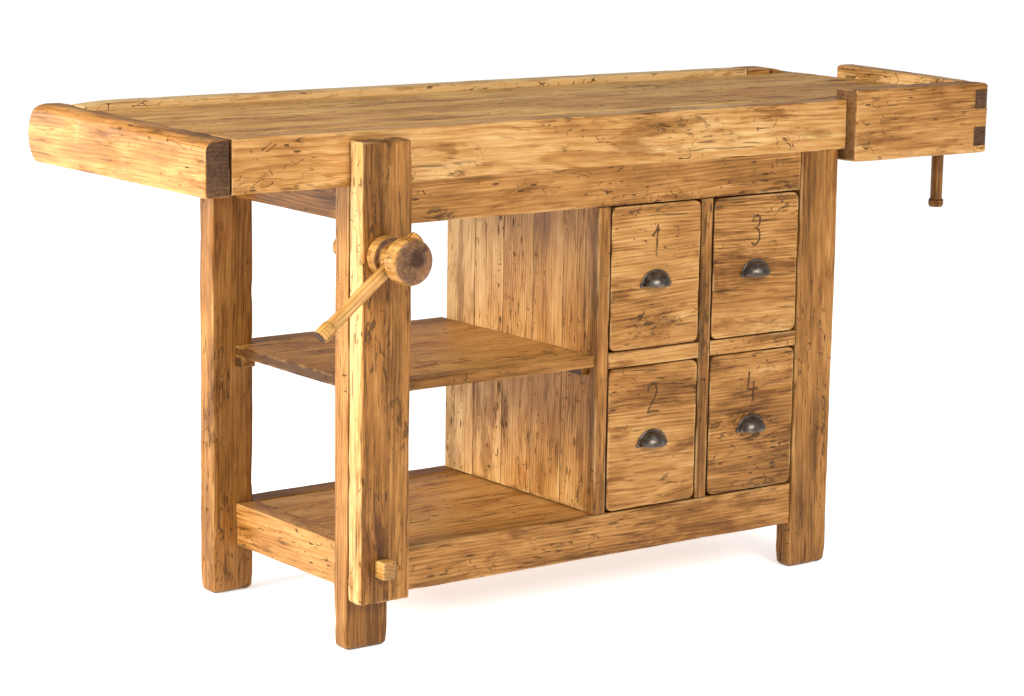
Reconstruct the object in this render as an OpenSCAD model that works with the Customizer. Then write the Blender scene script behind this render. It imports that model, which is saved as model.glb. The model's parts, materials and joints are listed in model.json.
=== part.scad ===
// Joiner's workbench in old pine: leg vise at the left, tail vise at the right,
// an open bay with a shelf and a cabinet of four drawers under the top.
// X runs along the bench, Y from front to back, Z up. The origin is under the middle of the bench.
// Inside the modules, X is measured from the left legs' outer face and Y from the legs' front face.

/* [Overall] */
// Height of the worktop above the floor
worktop_h = 880; // [860:5:900]
// Width of the leg frame, outside to outside
frame_w = 1090; // [1080:1:1104]
// Depth of the leg frame, front to back
frame_d = 478; // [468:1:490]

/* [Legs] */
// Width of the left legs
left_leg_w = 84; // [80:1:90]
// Width of the right legs
right_leg_w = 92; // [88:1:98]
// Depth of the front legs
front_leg_d = 40; // [38:1:46]
// Depth of the back legs
back_leg_d = 46; // [40:1:50]

/* [Top] */
// Height of the front beam
beam_h = 95; // [90:1:100]
// Thickness of the front beam
beam_t = 60; // [56:1:66]
// Thickness of the top's planks
plank_t = 40; // [34:1:44]
// How far the planks reach past the left legs
left_overhang = 222; // [210:1:240]
// How far the planks reach past the right legs
right_overhang = 327; // [317:1:340]
// How far the back rail reaches behind the back legs
back_overhang = 55; // [50:1:80]
// Thickness of the back rail
back_rail_t = 48; // [40:1:50]
// How far the back rail stands above the worktop
back_rail_rise = 12; // [8:1:16]
// Thickness of the left end board
end_board_t = 47; // [40:1:50]
// How far the left end board's back end stands above the worktop
end_board_rise = 8; // [4:1:12]
// How far the left end board reaches behind the back rail
end_board_tail = 73; // [60:1:80]
// Radius of the left end board's back end
end_board_r = 56; // [54:1:60]

/* [Lower frame] */
// Floor to the underside of the front and back stretchers
stretcher_z = 87; // [80:1:95]
// Height of the front and back stretchers
stretcher_h = 78; // [74:1:84]
// Thickness of the front and back stretchers
stretcher_t = 48; // [44:1:52]
// How far the side stretchers are set in from the legs' outer faces
side_inset = 46; // [40:1:50]
// Thickness of the lower shelf's planks
shelf_t = 20; // [16:1:22]
// Height of the apron's lower edge above the floor
apron_z = 718; // [712:1:724]

/* [Middle shelf] */
// Height of the middle shelf's upper face
middle_shelf_z = 453; // [430:1:470]
// Thickness of the middle shelf
middle_shelf_t = 20; // [18:1:24]

/* [Cabinet] */
// Width of the opening for each column of drawers
bay_w = 209; // [205:1:211]
// Width of the stile between the columns
stile_w = 27; // [24:1:30]
// Width of the post at the cabinet's left
post_w = 27; // [24:1:30]
// Thickness of the cabinet's boards
panel_t = 18; // [14:1:18]
// Height of the rails between the upper and the lower drawers
drawer_rail_h = 28; // [24:1:32]

/* [Drawers] */
// Gap round each drawer front
front_gap = 2; // [1.5:0.5:3]
// Thickness of the drawer fronts
front_t = 20; // [18:1:22]
// Radius of the drawer fronts' corners
front_corner = 14; // [8:1:20]
// Thickness of the drawers' sides and backs
side_t = 12; // [10:1:14]
// Length of the drawers behind their fronts
drawer_l = 400; // [360:5:410]
// Radius of the cup pulls
pull_r = 30; // [28:1:33]

/* [Leg vise] */
// Width of the chop
chop_w = 101; // [94:1:104]
// Thickness of the chop
chop_t = 40; // [36:1:44]
// Height of the chop's lower end above the floor
chop_z = 88; // [80:1:95]
// Length of the chop
chop_l = 778; // [760:1:784]
// Height of the leg vise's screw above the floor
leg_screw_z = 677; // [665:1:690]
// Length of the leg vise's handle
leg_handle_l = 242; // [230:1:256]
// Slope of the leg vise's handle, above level
handle_slope = 38; // [0:1:60]

/* [Tail vise] */
// Length of the jaw in front of the beam
jaw_l = 348; // [340:1:360]
// Thickness of the jaw
jaw_t = 58; // [54:1:62]
// Height of the jaw
jaw_h = 135; // [130:1:138]
// How far the jaw stands above the worktop
jaw_rise = 19; // [14:1:22]
// Thickness of the vise's end board
vise_board_t = 36; // [34:1:40]
// Depth of the vise, front of the jaw to the end board's back end
vise_d = 391; // [380:1:415]
// Length of the tail vise's handle
tail_handle_l = 205; // [190:1:230]

/* [Screws] */
// Radius of both wooden screws
screw_r = 18; // [16:1:19]
// Radius of the screws' hubs at the outer end
hub_r = 39; // [37:1:42]
// Length of the hubs
hub_l = 92; // [90:1:98]

/* [Hidden] */
$fn = 64;

// Places along X
right_leg_x = frame_w - right_leg_w;
planks_x = [-left_overhang, frame_w + right_overhang];
end_board_x = planks_x[0] - end_board_t;
jaw_end_x = planks_x[1] + 1.5 + vise_board_t;
jaw_x = jaw_end_x - jaw_l;
vise_board_x = jaw_end_x - vise_board_t;
bay_2_x = right_leg_x - bay_w;
stile_x = bay_2_x - stile_w;
bay_1_x = stile_x - bay_w;
post_x = bay_1_x - post_w;
side_left_x = bay_1_x - 0.5 - panel_t;
partition_x = stile_x + (stile_w - panel_t) / 2;
left_stretcher_x = [side_inset, side_inset + 44];
right_stretcher_x = [right_leg_x + panel_t + 2, frame_w - 32];
left_rail_x = [side_inset, side_inset + 30];
right_rail_x = [right_leg_x + panel_t + 2, right_leg_x + panel_t + 32];
block_x = frame_w + 198;

// Places along Y
front_set = 2;
back_leg_y = frame_d - back_leg_d;
cabinet_y = [24, frame_d - 8];
cabinet_back_y = cabinet_y[1] - 17;
top_y = frame_d + back_overhang;
back_rail_y = top_y - back_rail_t;
end_board_y = [2, top_y + end_board_tail];
notch_y = 35;
jaw_y = notch_y - 1 - jaw_t;
vise_board_y = jaw_y + vise_d;
back_stretcher_y = [back_leg_y, frame_d + 2];

// Places along Z
beam_z = worktop_h - beam_h;
planks_z = worktop_h - plank_t;
stretcher_top = stretcher_z + stretcher_h;
shelf_z = stretcher_top - 2;
cabinet_top = apron_z + 27;
jaw_z = [worktop_h + jaw_rise - jaw_h, worktop_h + jaw_rise];
drawer_rail_z = (stretcher_top + apron_z - drawer_rail_h) / 2;
row_z = [[stretcher_top, drawer_rail_z], [drawer_rail_z + drawer_rail_h, apron_z]];

// Joinery
tenon_l = 20;
side_tenon_l = 12;
board_gap = 1;
plank_n = 4;
lower_plank_n = 4;
side_board_n = 5;
back_board_n = 5;

// Screws, hubs and handles
fit = 0.1;
neck_r = 23;
inner_flange_r = 34;
inner_flange_l = 24;
neck_l = 32;
groove_r = 14;
groove_gap = 0.3;
hub_gap = 0.4;
bar_z = hub_gap + inner_flange_l + neck_l / 2;
garter_w = 60;
garter_t = 12;
rod_r = 11.5;
knob_r = 14;
knob_l = 28;
tail_rod_r = 12;
tail_knob_r = 15;
tail_knob_l = 17;
leg_screw_x = left_leg_w / 2;
leg_screw_tail = 47;
tail_screw_y = 147;
tail_screw_z = worktop_h - 80;
tail_screw_l = 300;
chop_back_gap = 0.5;
slide_bar_y = [250, 290];
slide_bar_z = [worktop_h - 90, worktop_h - 50];
slide_bar_l = 290;
slide_bar_sink = 24;

// Guide of the leg vise
guide_w = 28;
guide_h = 31;
guide_x = 31;
guide_z = 133;
guide_proud = 24;

// Front of each hub and the middle of the bench's box
leg_hub_y = -chop_t - hub_l;
tail_hub_x = jaw_end_x + hub_l;
middle = [(end_board_x + tail_hub_x) / 2, (leg_hub_y + end_board_y[1]) / 2, 0];

// Drawers 1 and 2 are the left column, 3 and 4 the right one, the upper drawer first
function drawer_x(n) = n <= 2 ? bay_1_x : bay_2_x;
function drawer_z(n) = row_z[n % 2];

// Colours of the wood and the iron
pine = [0.80, 0.58, 0.32];
brown_pine = [0.62, 0.41, 0.22];
dark_wood = [0.45, 0.29, 0.18];
iron = [0.33, 0.31, 0.29];

// ---------- Shared shapes ----------

// Moves the bench so that the middle of its footprint is at the origin
module placed() {
  translate(-middle) children();
}

// A board between low and high values on each axis
module board(x, y, z) {
  translate([x[0], y[0], z[0]]) cube([x[1] - x[0], y[1] - y[0], z[1] - z[0]]);
}

// Boards side by side along X or Y, with a thin gap between them
module boards_along_x(n, x, y, z) {
  step = (x[1] - x[0] + board_gap) / n;
  for (i = [0 : n - 1]) board([x[0] + i * step, x[0] + (i + 1) * step - board_gap], y, z);
}

module boards_along_y(n, x, y, z) {
  step = (y[1] - y[0] + board_gap) / n;
  for (i = [0 : n - 1]) board(x, [y[0] + i * step, y[0] + (i + 1) * step - board_gap], z);
}

// Extrudes an outline drawn in Y and Z along X
module along_x(x, length) {
  translate([x, 0, 0]) rotate([90, 0, 90]) linear_extrude(length) children();
}

// Extrudes an outline drawn in X and Z along Y
module along_y(y, length) {
  translate([0, y + length, 0]) rotate([90, 0, 0]) linear_extrude(length) children();
}

// A rectangle with round corners
module round_rect(w, h, r) {
  translate([r, 0]) square([w - 2 * r, h]);
  translate([0, r]) square([w, h - 2 * r]);
  for (x = [r, w - r], y = [r, h - r]) translate([x, y]) circle(r);
}

// ---------- Tenons of the leg frame, which the legs' mortises match ----------

module tenons_x(y, z) {
  board([left_leg_w - tenon_l, left_leg_w], y, z);
  board([right_leg_x, right_leg_x + tenon_l], y, z);
}

module tenons_y(x, z) {
  board(x, [front_leg_d - side_tenon_l, front_leg_d], z);
  board(x, [back_leg_y, back_leg_y + side_tenon_l], z);
}

module front_stretcher_tenons() {
  tenons_x([10, 24], [stretcher_z + 10, stretcher_top - 10]);
}

module back_stretcher_tenons() {
  tenons_x([frame_d - 28, frame_d - 14], [stretcher_z + 10, stretcher_top - 10]);
}

module front_apron_tenons() {
  tenons_x([8, 18], [apron_z + 10, beam_z - 10]);
}

module back_apron_tenons() {
  tenons_x([frame_d - 26, frame_d - 14], [cabinet_top + 10, planks_z - 20]);
}

module side_tenons(x, z) {
  tenons_y([(x[0] + x[1]) / 2 - 6, (x[0] + x[1]) / 2 + 8], z);
}

module side_stretcher_tenons() {
  for (x = [left_stretcher_x, right_stretcher_x]) side_tenons(x, [stretcher_z + 10, stretcher_top - 12]);
}

module side_rail_tenons() {
  for (x = [left_rail_x, right_rail_x]) side_tenons(x, [apron_z + 12, beam_z - 10]);
}

module all_tenons() {
  front_stretcher_tenons();
  back_stretcher_tenons();
  front_apron_tenons();
  back_apron_tenons();
  side_stretcher_tenons();
  side_rail_tenons();
}

// The stretch of a set of tenons that one rail carries
module tenons_of_left() {
  intersection() {
    children();
    board([0, frame_w / 2], [0, frame_d], [0, worktop_h]);
  }
}

module tenons_of_right() {
  intersection() {
    children();
    board([frame_w / 2, frame_w], [0, frame_d], [0, worktop_h]);
  }
}

// ---------- Legs ----------

module leg_front_left() {
  color(pine) placed() difference() {
    board([0, left_leg_w], [0, front_leg_d], [0, beam_z]);
    all_tenons();
    guide_mortise();
    translate([leg_screw_x, -1, leg_screw_z]) rotate([-90, 0, 0]) {
      cylinder(r = screw_r + fit, h = front_leg_d + 2);
    }
  }
}

// Hole for the leg vise's guide, with room for it to slide
module guide_mortise() {
  room = 0.5;
  board(
    [guide_x - room, guide_x + guide_w + room],
    [-1, front_leg_d + 1],
    [guide_z - room, guide_z + guide_h + room]
  );
}

module leg_front_right() {
  color(pine) placed() difference() {
    board([right_leg_x, frame_w], [0, front_leg_d], [0, beam_z]);
    all_tenons();
  }
}

module leg_back_left() {
  color(pine) placed() difference() {
    board([0, left_leg_w], [back_leg_y, frame_d], [0, planks_z]);
    all_tenons();
  }
}

module leg_back_right() {
  color(pine) placed() difference() {
    board([right_leg_x, frame_w], [back_leg_y, frame_d], [0, planks_z]);
    all_tenons();
  }
}

// ---------- Rails and stretchers ----------

module front_apron() {
  color(pine) placed() {
    board([left_leg_w, right_leg_x], [front_set, cabinet_y[0]], [apron_z, beam_z]);
    front_apron_tenons();
  }
}

module back_apron() {
  color(brown_pine) placed() {
    board([left_leg_w, right_leg_x], [frame_d - 33, cabinet_y[1]], [cabinet_top, planks_z]);
    back_apron_tenons();
  }
}

// Reaches up to the planks behind the front beam, and stays below the beam in front
module side_rail(x) {
  board(x, [front_leg_d, back_leg_y], [apron_z, beam_z]);
  board(x, [beam_t, back_leg_y], [beam_z - 1, planks_z]);
}

module side_rail_left() {
  color(brown_pine) placed() {
    side_rail(left_rail_x);
    tenons_of_left() side_rail_tenons();
  }
}

module side_rail_right() {
  color(brown_pine) placed() {
    side_rail(right_rail_x);
    tenons_of_right() side_rail_tenons();
  }
}

// Thicker than the legs: its back part fits between the side stretchers
module front_stretcher() {
  z = [stretcher_z, stretcher_top];
  color(pine) placed() {
    board([left_leg_w, right_leg_x], [front_set, front_leg_d], z);
    board([left_stretcher_x[1], right_leg_x], [front_leg_d - 1, front_set + stretcher_t], z);
    front_stretcher_tenons();
  }
}

module back_stretcher() {
  color(brown_pine) placed() {
    board([left_leg_w, right_leg_x], back_stretcher_y, [stretcher_z, stretcher_top]);
    back_stretcher_tenons();
  }
}

module side_stretcher_left() {
  color(pine) placed() {
    board(left_stretcher_x, [front_leg_d, back_leg_y], [stretcher_z, stretcher_top]);
    tenons_of_left() side_stretcher_tenons();
  }
}

module side_stretcher_right() {
  color(pine) placed() {
    board(right_stretcher_x, [front_leg_d, back_leg_y], [stretcher_z, stretcher_top]);
    tenons_of_right() side_stretcher_tenons();
  }
}

// ---------- Shelves ----------

module lower_shelf_planks() {
  y = [front_set + stretcher_t, back_leg_y];
  color(brown_pine) placed() boards_along_y(
    lower_plank_n, [left_stretcher_x[1], right_stretcher_x[0]], y, [shelf_z - shelf_t, shelf_z]
  );
}

// The shelf fits round the left legs and behind the cabinet's post
module middle_shelf() {
  front_y = 6;
  back_y = frame_d + 5;
  right_x = side_left_x;
  low = middle_shelf_z - middle_shelf_t;
  color(brown_pine) placed() translate([0, 0, low]) linear_extrude(middle_shelf_t) {
    polygon([
      [side_inset, front_leg_d],
      [left_leg_w, front_leg_d],
      [left_leg_w, front_y],
      [post_x, front_y],
      [post_x, cabinet_y[0]],
      [right_x, cabinet_y[0]],
      [right_x, back_y],
      [left_leg_w, back_y],
      [left_leg_w, back_leg_y],
      [side_inset, back_leg_y],
    ]);
  }
}

// Blocks on the left legs and a batten on the cabinet's side, under the middle shelf
module shelf_cleats() {
  z = [middle_shelf_z - middle_shelf_t - 18, middle_shelf_z - middle_shelf_t];
  color(brown_pine) placed() {
    board([side_inset, side_inset + 30], [front_leg_d, front_leg_d + 22], z);
    board([side_inset, side_inset + 30], [back_leg_y - 22, back_leg_y], z);
    board([side_left_x - 18, side_left_x], [cabinet_y[0] + 8, back_leg_y], z);
  }
}

// ---------- Top ----------

// Full thickness as far as the tail vise's jaw, then half of it, behind the jaw
module front_beam() {
  color(pine) placed() translate([0, 0, beam_z]) linear_extrude(beam_h) polygon([
    [planks_x[0], 0],
    [jaw_x - 1, 0],
    [jaw_x - 1, notch_y],
    [planks_x[1], notch_y],
    [planks_x[1], beam_t],
    [planks_x[0], beam_t],
  ]);
}

module top_planks() {
  color(pine) placed() boards_along_y(plank_n, planks_x, [beam_t, back_rail_y], [planks_z, worktop_h]);
}

// Cross battens that hold the planks together: one past each pair of legs and one over the cabinet
module top_battens() {
  places = [planks_x[0] + 40, (post_x + stile_x) / 2, frame_w + 8];
  back_ends = [back_rail_y, frame_d - 33, back_rail_y];
  color(brown_pine) placed() for (i = [0 : 2]) {
    board([places[i], places[i] + 50], [beam_t, back_ends[i]], [beam_z + 5, planks_z]);
  }
}

// The board across the left end: it rises a little towards the back, where its end is round
module end_board_left() {
  y = end_board_y;
  round_y = y[1] - end_board_r;
  back_z = worktop_h + end_board_rise;
  color(pine) placed() along_x(end_board_x, end_board_t) intersection() {
    polygon([[y[0], beam_z], [y[0], worktop_h - 2], [round_y, back_z], [y[1], back_z], [y[1], beam_z]]);
    union() {
      translate([y[0], beam_z]) square([round_y - 10 - y[0], 2 * beam_h]);
      translate([round_y, back_z + 1.5 - end_board_r]) circle(end_board_r);
    }
  }
}

module back_rail() {
  color(pine) placed() {
    board([planks_x[0], block_x - 1], [back_rail_y, top_y], [beam_z + 15, worktop_h + back_rail_rise]);
  }
}

// Short block that ends the back rail and comes down to the worktop in a curve
module back_rail_block() {
  flat_l = 45;
  curve_l = 60;
  curve_r = (curve_l * curve_l + back_rail_rise * back_rail_rise) / (2 * back_rail_rise);
  rise_top = worktop_h + back_rail_rise;
  color(pine) placed() along_y(back_rail_y, back_rail_t) {
    translate([block_x, beam_z + 15]) square([planks_x[1] - block_x, beam_h - 15]);
    translate([block_x, worktop_h - 10]) square([flat_l, back_rail_rise + 10]);
    intersection() {
      translate([block_x + flat_l, rise_top - curve_r]) circle(curve_r, $fn = 360);
      translate([block_x + flat_l - 1, worktop_h - 10]) square([curve_l, back_rail_rise + 10]);
    }
  }
}

// ---------- Vise screws ----------

// Screw along Z through a board whose outer face is at z = 0: the hub stands above it and
// the shaft reaches down to z = -shaft_l. The hole for the bar crosses the neck along X.
module vise_screw(shaft_l, board_t, bar_r) {
  groove_end = garter_t - board_t + groove_gap;
  difference() {
    union() {
      translate([0, 0, -shaft_l]) cylinder(r = screw_r, h = shaft_l - board_t - groove_gap);
      translate([0, 0, -board_t - groove_gap]) cylinder(r = groove_r, h = garter_t + 2 * groove_gap);
      translate([0, 0, groove_end]) cylinder(r = screw_r, h = 1 - groove_end);
      translate([0, 0, hub_gap]) rotate_extrude() hub_outline();
    }
    translate([-hub_r, 0, bar_z]) rotate([0, 90, 0]) cylinder(r = bar_r + fit, h = 2 * hub_r);
  }
}

// Half outline of a turned hub: inner flange with round edges, neck for the bar, and a round-edged knob
module hub_outline() {
  knob_z = inner_flange_l + neck_l;
  end_z = hub_l - hub_gap;
  edge = 8;
  bead = 3;
  square([neck_r, knob_z + edge]);
  square([inner_flange_r - bead, inner_flange_l]);
  translate([0, bead]) square([inner_flange_r, inner_flange_l - 2 * bead]);
  for (z = [bead, inner_flange_l - bead]) translate([inner_flange_r - bead, z]) circle(bead);
  translate([0, knob_z]) square([hub_r - edge, end_z - knob_z]);
  translate([0, knob_z + edge]) square([hub_r, end_z - knob_z - 2 * edge]);
  for (z = [knob_z + edge, end_z - edge]) translate([hub_r - edge, z]) circle(edge);
}

// Two half plates round the screw's groove, on the board's inner face
module garter() {
  difference() {
    translate([-garter_w / 2, -garter_w / 2, 0]) cube([garter_w, garter_w, garter_t]);
    translate([0, 0, -1]) cylinder(r = groove_r + fit, h = garter_t + 2);
    translate([-0.1, -garter_w, -1]) cube([0.2, 2 * garter_w, garter_t + 2]);
  }
}

// Space for the garter and the screw in a vise's board, seen from the board's inner face at z = 0
module screw_bore(board_t) {
  translate([-garter_w / 2, -garter_w / 2, -1]) cube([garter_w, garter_w, garter_t + 1]);
  cylinder(r = screw_r + fit, h = board_t + 1);
}

// Bar along Z from z = 0 upwards, with a turned end
module handle_rod(rod, end_r, end_l, length) {
  cylinder(r = rod, h = length);
  cylinder(r = end_r, h = end_l);
}

module handle_knob(rod, end_r, end_l) {
  difference() {
    cylinder(r = end_r, h = end_l);
    translate([0, 0, -1]) cylinder(r = rod, h = end_l + 2);
  }
}

// ---------- Leg vise ----------

// Puts a shape built round the screw's axis, with z = 0 at the chop's front, on the leg vise
module on_leg_screw() {
  translate([leg_screw_x, -chop_t, leg_screw_z]) rotate([90, 0, 0]) children();
}

module leg_vise_chop() {
  edge = 6;
  color(pine) placed() difference() {
    along_y(-chop_t, chop_t - chop_back_gap) translate([0, chop_z]) round_rect(chop_w, chop_l, edge);
    translate([leg_screw_x, -chop_back_gap, leg_screw_z]) rotate([90, 0, 0]) screw_bore(chop_t);
    board([guide_x, guide_x + guide_w], [-chop_t - 1, 0], [guide_z, guide_z + guide_h]);
  }
}

module leg_vise_guide() {
  color(pine) placed() {
    y = [-chop_t - guide_proud, front_leg_d - 1];
    board([guide_x, guide_x + guide_w], y, [guide_z, guide_z + guide_h]);
  }
}

module leg_vise_garter() {
  color(dark_wood) placed() {
    translate([leg_screw_x, -chop_back_gap, leg_screw_z]) rotate([90, 0, 0]) garter();
  }
}

module leg_vise_screw() {
  shaft_l = chop_t + front_leg_d + leg_screw_tail;
  color(pine) placed() on_leg_screw() {
    rotate([0, 0, handle_slope]) vise_screw(shaft_l, chop_t - chop_back_gap, rod_r);
  }
}

// Puts a bar built upwards along Z on the leg vise: its lower end is at the left
module on_leg_bar() {
  upper_l = neck_r + 1.5 + knob_l;
  on_leg_screw() translate([0, 0, bar_z]) rotate([0, 0, handle_slope]) {
    translate([upper_l - leg_handle_l, 0, 0]) rotate([0, 90, 0]) children();
  }
}

module leg_vise_handle() {
  color(pine) placed() on_leg_bar() handle_rod(rod_r, knob_r, knob_l, leg_handle_l);
}

module leg_vise_handle_knob() {
  color(pine) placed() on_leg_bar() translate([0, 0, leg_handle_l - knob_l]) {
    handle_knob(rod_r, knob_r, knob_l);
  }
}

// ---------- Tail vise ----------

// The end board's two pins, which go through the jaw and show on its front
module tail_pins() {
  for (z = [jaw_z[0] + 15, jaw_z[0] + 86]) {
    board([vise_board_x, jaw_end_x], [jaw_y, jaw_y + jaw_t], [z, z + 36]);
  }
}

module tail_vise_jaw() {
  edge = 10;
  color(pine) placed() difference() {
    along_x(jaw_x, jaw_l) translate([jaw_y, jaw_z[0]]) round_rect(jaw_t, jaw_h, edge);
    tail_pins();
  }
}

// Behind the jaw, a little higher at the back, with a round corner
module tail_vise_end_board() {
  edge = 12;
  lift = 7;
  front = jaw_y + jaw_t;
  top = jaw_z[1] + lift;
  color(pine) placed() difference() {
    union() {
      along_x(vise_board_x, vise_board_t) {
        polygon([
          [front, jaw_z[0]],
          [front, jaw_z[1]],
          [vise_board_y - edge, top],
          [vise_board_y - edge, jaw_z[0]],
        ]);
        translate([vise_board_y - edge, top - edge]) circle(edge);
        translate([vise_board_y - 2 * edge, jaw_z[0]]) square([2 * edge, top - edge - jaw_z[0]]);
      }
      tail_pins();
    }
    on_tail_board_inside() screw_bore(vise_board_t);
    board([vise_board_x - 1, vise_board_x + slide_bar_sink], slide_bar_y, slide_bar_z);
  }
}

// Puts a shape built along the screw's axis, with z = 0 at the end board's inner face, on the tail vise
module on_tail_board_inside() {
  translate([vise_board_x, tail_screw_y, tail_screw_z]) rotate([0, 90, 0]) children();
}

// The same with z = 0 at the end board's outer face, and the bar's hole standing upright
module on_tail_screw() {
  translate([jaw_end_x, tail_screw_y, tail_screw_z]) rotate([0, 90, 0]) children();
}

module tail_vise_garter() {
  color(dark_wood) placed() on_tail_board_inside() rotate([0, 0, 90]) garter();
}

module tail_vise_screw() {
  color(pine) placed() on_tail_screw() vise_screw(tail_screw_l, vise_board_t, tail_rod_r);
}

// Puts a bar built upwards along Z on the tail vise: it hangs by the knob at its upper end
module on_tail_bar() {
  upper_l = neck_r + 1.5 + tail_knob_l;
  translate([jaw_end_x + bar_z, tail_screw_y, tail_screw_z + upper_l - tail_handle_l]) children();
}

module tail_vise_handle() {
  color(pine) placed() on_tail_bar() handle_rod(tail_rod_r, tail_knob_r, tail_knob_l, tail_handle_l);
}

module tail_vise_handle_knob() {
  color(pine) placed() on_tail_bar() translate([0, 0, tail_handle_l - tail_knob_l]) {
    handle_knob(tail_rod_r, tail_knob_r, tail_knob_l);
  }
}

// Bar that keeps the vise square as it slides under the planks
module tail_vise_slide_bar() {
  x_1 = vise_board_x + slide_bar_sink;
  color(brown_pine) placed() board([x_1 - slide_bar_l, x_1], slide_bar_y, slide_bar_z);
}

// Threaded block under the planks that the screw runs in
module tail_vise_nut() {
  x = [planks_x[1] - 90, planks_x[1] - 30];
  color(brown_pine) placed() difference() {
    board(x, [tail_screw_y - 38, tail_screw_y + 38], [tail_screw_z - 27, planks_z]);
    translate([x[0] - 1, tail_screw_y, tail_screw_z]) rotate([0, 90, 0]) cylinder(r = screw_r + fit, h = 62);
  }
}

// Two blocks under the planks with a square hole each for the slide bar
module tail_vise_keepers() {
  room = 0.5;
  wall = 18;
  color(brown_pine) placed() for (x = [planks_x[1] - 160, planks_x[1] - 60]) difference() {
    board([x, x + 30], [slide_bar_y[0] - wall, slide_bar_y[1] + wall], [slide_bar_z[0] - wall, planks_z]);
    board(
      [x - 1, x + 31],
      [slide_bar_y[0] - room, slide_bar_y[1] + room],
      [slide_bar_z[0] - room, slide_bar_z[1] + room]
    );
  }
}

// ---------- Cabinet ----------

module cabinet_side_left() {
  color(pine) placed() boards_along_y(
    side_board_n, [side_left_x, side_left_x + panel_t], cabinet_y, [stretcher_top, cabinet_top]
  );
}

module cabinet_side_right() {
  color(pine) placed() boards_along_y(
    side_board_n, [right_leg_x, right_leg_x + panel_t], [front_leg_d, back_leg_y], [shelf_z, cabinet_top]
  );
}

module cabinet_back() {
  x = [side_left_x + panel_t, right_leg_x];
  color(brown_pine) placed() boards_along_x(
    back_board_n, x, [cabinet_back_y, cabinet_y[1]], [stretcher_top, cabinet_top]
  );
}

module cabinet_post() {
  color(pine) placed() board([post_x, bay_1_x], [front_set, cabinet_y[0]], [stretcher_top, apron_z]);
}

module cabinet_stile() {
  color(pine) placed() board([stile_x, bay_2_x], [front_set, cabinet_y[0]], [stretcher_top, apron_z]);
}

module cabinet_partition() {
  color(brown_pine) placed() {
    board([partition_x, partition_x + panel_t], [cabinet_y[0], cabinet_back_y], [stretcher_top, cabinet_top]);
  }
}

module cabinet_rails() {
  z = [drawer_rail_z, drawer_rail_z + drawer_rail_h];
  color(pine) placed() for (x = [bay_1_x, bay_2_x]) board([x, x + bay_w], [front_set, cabinet_y[0]], z);
}

// Strips that the drawers slide on, at both sides of each bay
module drawer_runners() {
  width = 20;
  y = [front_set + stretcher_t, back_leg_y - 2];
  left_sides = [side_left_x + panel_t, partition_x + panel_t];
  right_sides = [partition_x, right_leg_x];
  color(brown_pine) placed() for (i = [0, 1], row = [0, 1]) {
    z = row == 0 ? [shelf_z, runner_z(row)] : [runner_z(row) - 16, runner_z(row)];
    board([left_sides[i], left_sides[i] + width], y, z);
    board([right_sides[i] - width, right_sides[i]], y, z);
  }
}

function runner_z(row) = row_z[row][0] + 2;

// ---------- Drawers ----------

module drawer_front(n) {
  w = bay_w - 2 * front_gap;
  z = drawer_z(n);
  h = z[1] - z[0] - 2 * front_gap;
  color(pine) placed() along_y(front_set, front_t) {
    translate([drawer_x(n) + front_gap, z[0] + front_gap]) round_rect(w, h, front_corner);
  }
}

// Outside of the drawer's box behind its front
function drawer_box_x(n) = [drawer_x(n) + 5, drawer_x(n) + bay_w - 5];
function drawer_box_z(n) = [drawer_z(n)[0] + 2.5, drawer_z(n)[1] - 10];
drawer_box_y = [front_set + front_t, front_set + front_t + drawer_l];

module drawer_box(n) {
  x = drawer_box_x(n);
  y = drawer_box_y;
  z = drawer_box_z(n);
  color(brown_pine) placed() {
    board([x[0], x[0] + side_t], y, z);
    board([x[1] - side_t, x[1]], y, z);
    board([x[0] + side_t, x[1] - side_t], [y[1] - side_t, y[1]], z);
  }
}

module drawer_bottom(n) {
  x = drawer_box_x(n);
  y = drawer_box_y;
  z_0 = drawer_box_z(n)[0] + 3;
  color(brown_pine) placed() board([x[0] + side_t, x[1] - side_t], [y[0], y[1] - side_t], [z_0, z_0 + 9]);
}

// Cup pull: a quarter of a hollow dome, open downwards, on a rim with a screw in each of its two ears
module drawer_pull(n) {
  wall = 2.5;
  sink = 6;
  rim_t = 2;
  rim_w = 3;
  ear_x = pull_r + 2;
  lip_z = drawer_z(n)[0] + 116;
  color(iron) placed() translate([drawer_x(n) + bay_w / 2, front_set, lip_z]) {
    difference() {
      union() {
        translate([0, sink, 0]) sphere(pull_r);
        rotate([90, 0, 0]) cylinder(r = pull_r + rim_w, h = rim_t);
      }
      translate([0, sink, 0]) sphere(pull_r - wall);
      translate([-2 * pull_r, 0, -2 * pull_r]) cube([4 * pull_r, 2 * pull_r, 4 * pull_r]);
      translate([-2 * pull_r, -2 * pull_r, -2 * pull_r]) cube([4 * pull_r, 3 * pull_r, 2 * pull_r]);
    }
    for (side = [-1, 1]) translate([side * ear_x, 0, 0]) rotate([90, 0, 0]) {
      cylinder(r = 4.5, h = rim_t);
      cylinder(r = 3, h = rim_t + 1.5);
    }
  }
}

module drawer_1_front() { drawer_front(1); }
module drawer_2_front() { drawer_front(2); }
module drawer_3_front() { drawer_front(3); }
module drawer_4_front() { drawer_front(4); }
module drawer_1_box() { drawer_box(1); }
module drawer_2_box() { drawer_box(2); }
module drawer_3_box() { drawer_box(3); }
module drawer_4_box() { drawer_box(4); }
module drawer_1_bottom() { drawer_bottom(1); }
module drawer_2_bottom() { drawer_bottom(2); }
module drawer_3_bottom() { drawer_bottom(3); }
module drawer_4_bottom() { drawer_bottom(4); }
module drawer_1_pull() { drawer_pull(1); }
module drawer_2_pull() { drawer_pull(2); }
module drawer_3_pull() { drawer_pull(3); }
module drawer_4_pull() { drawer_pull(4); }

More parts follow.
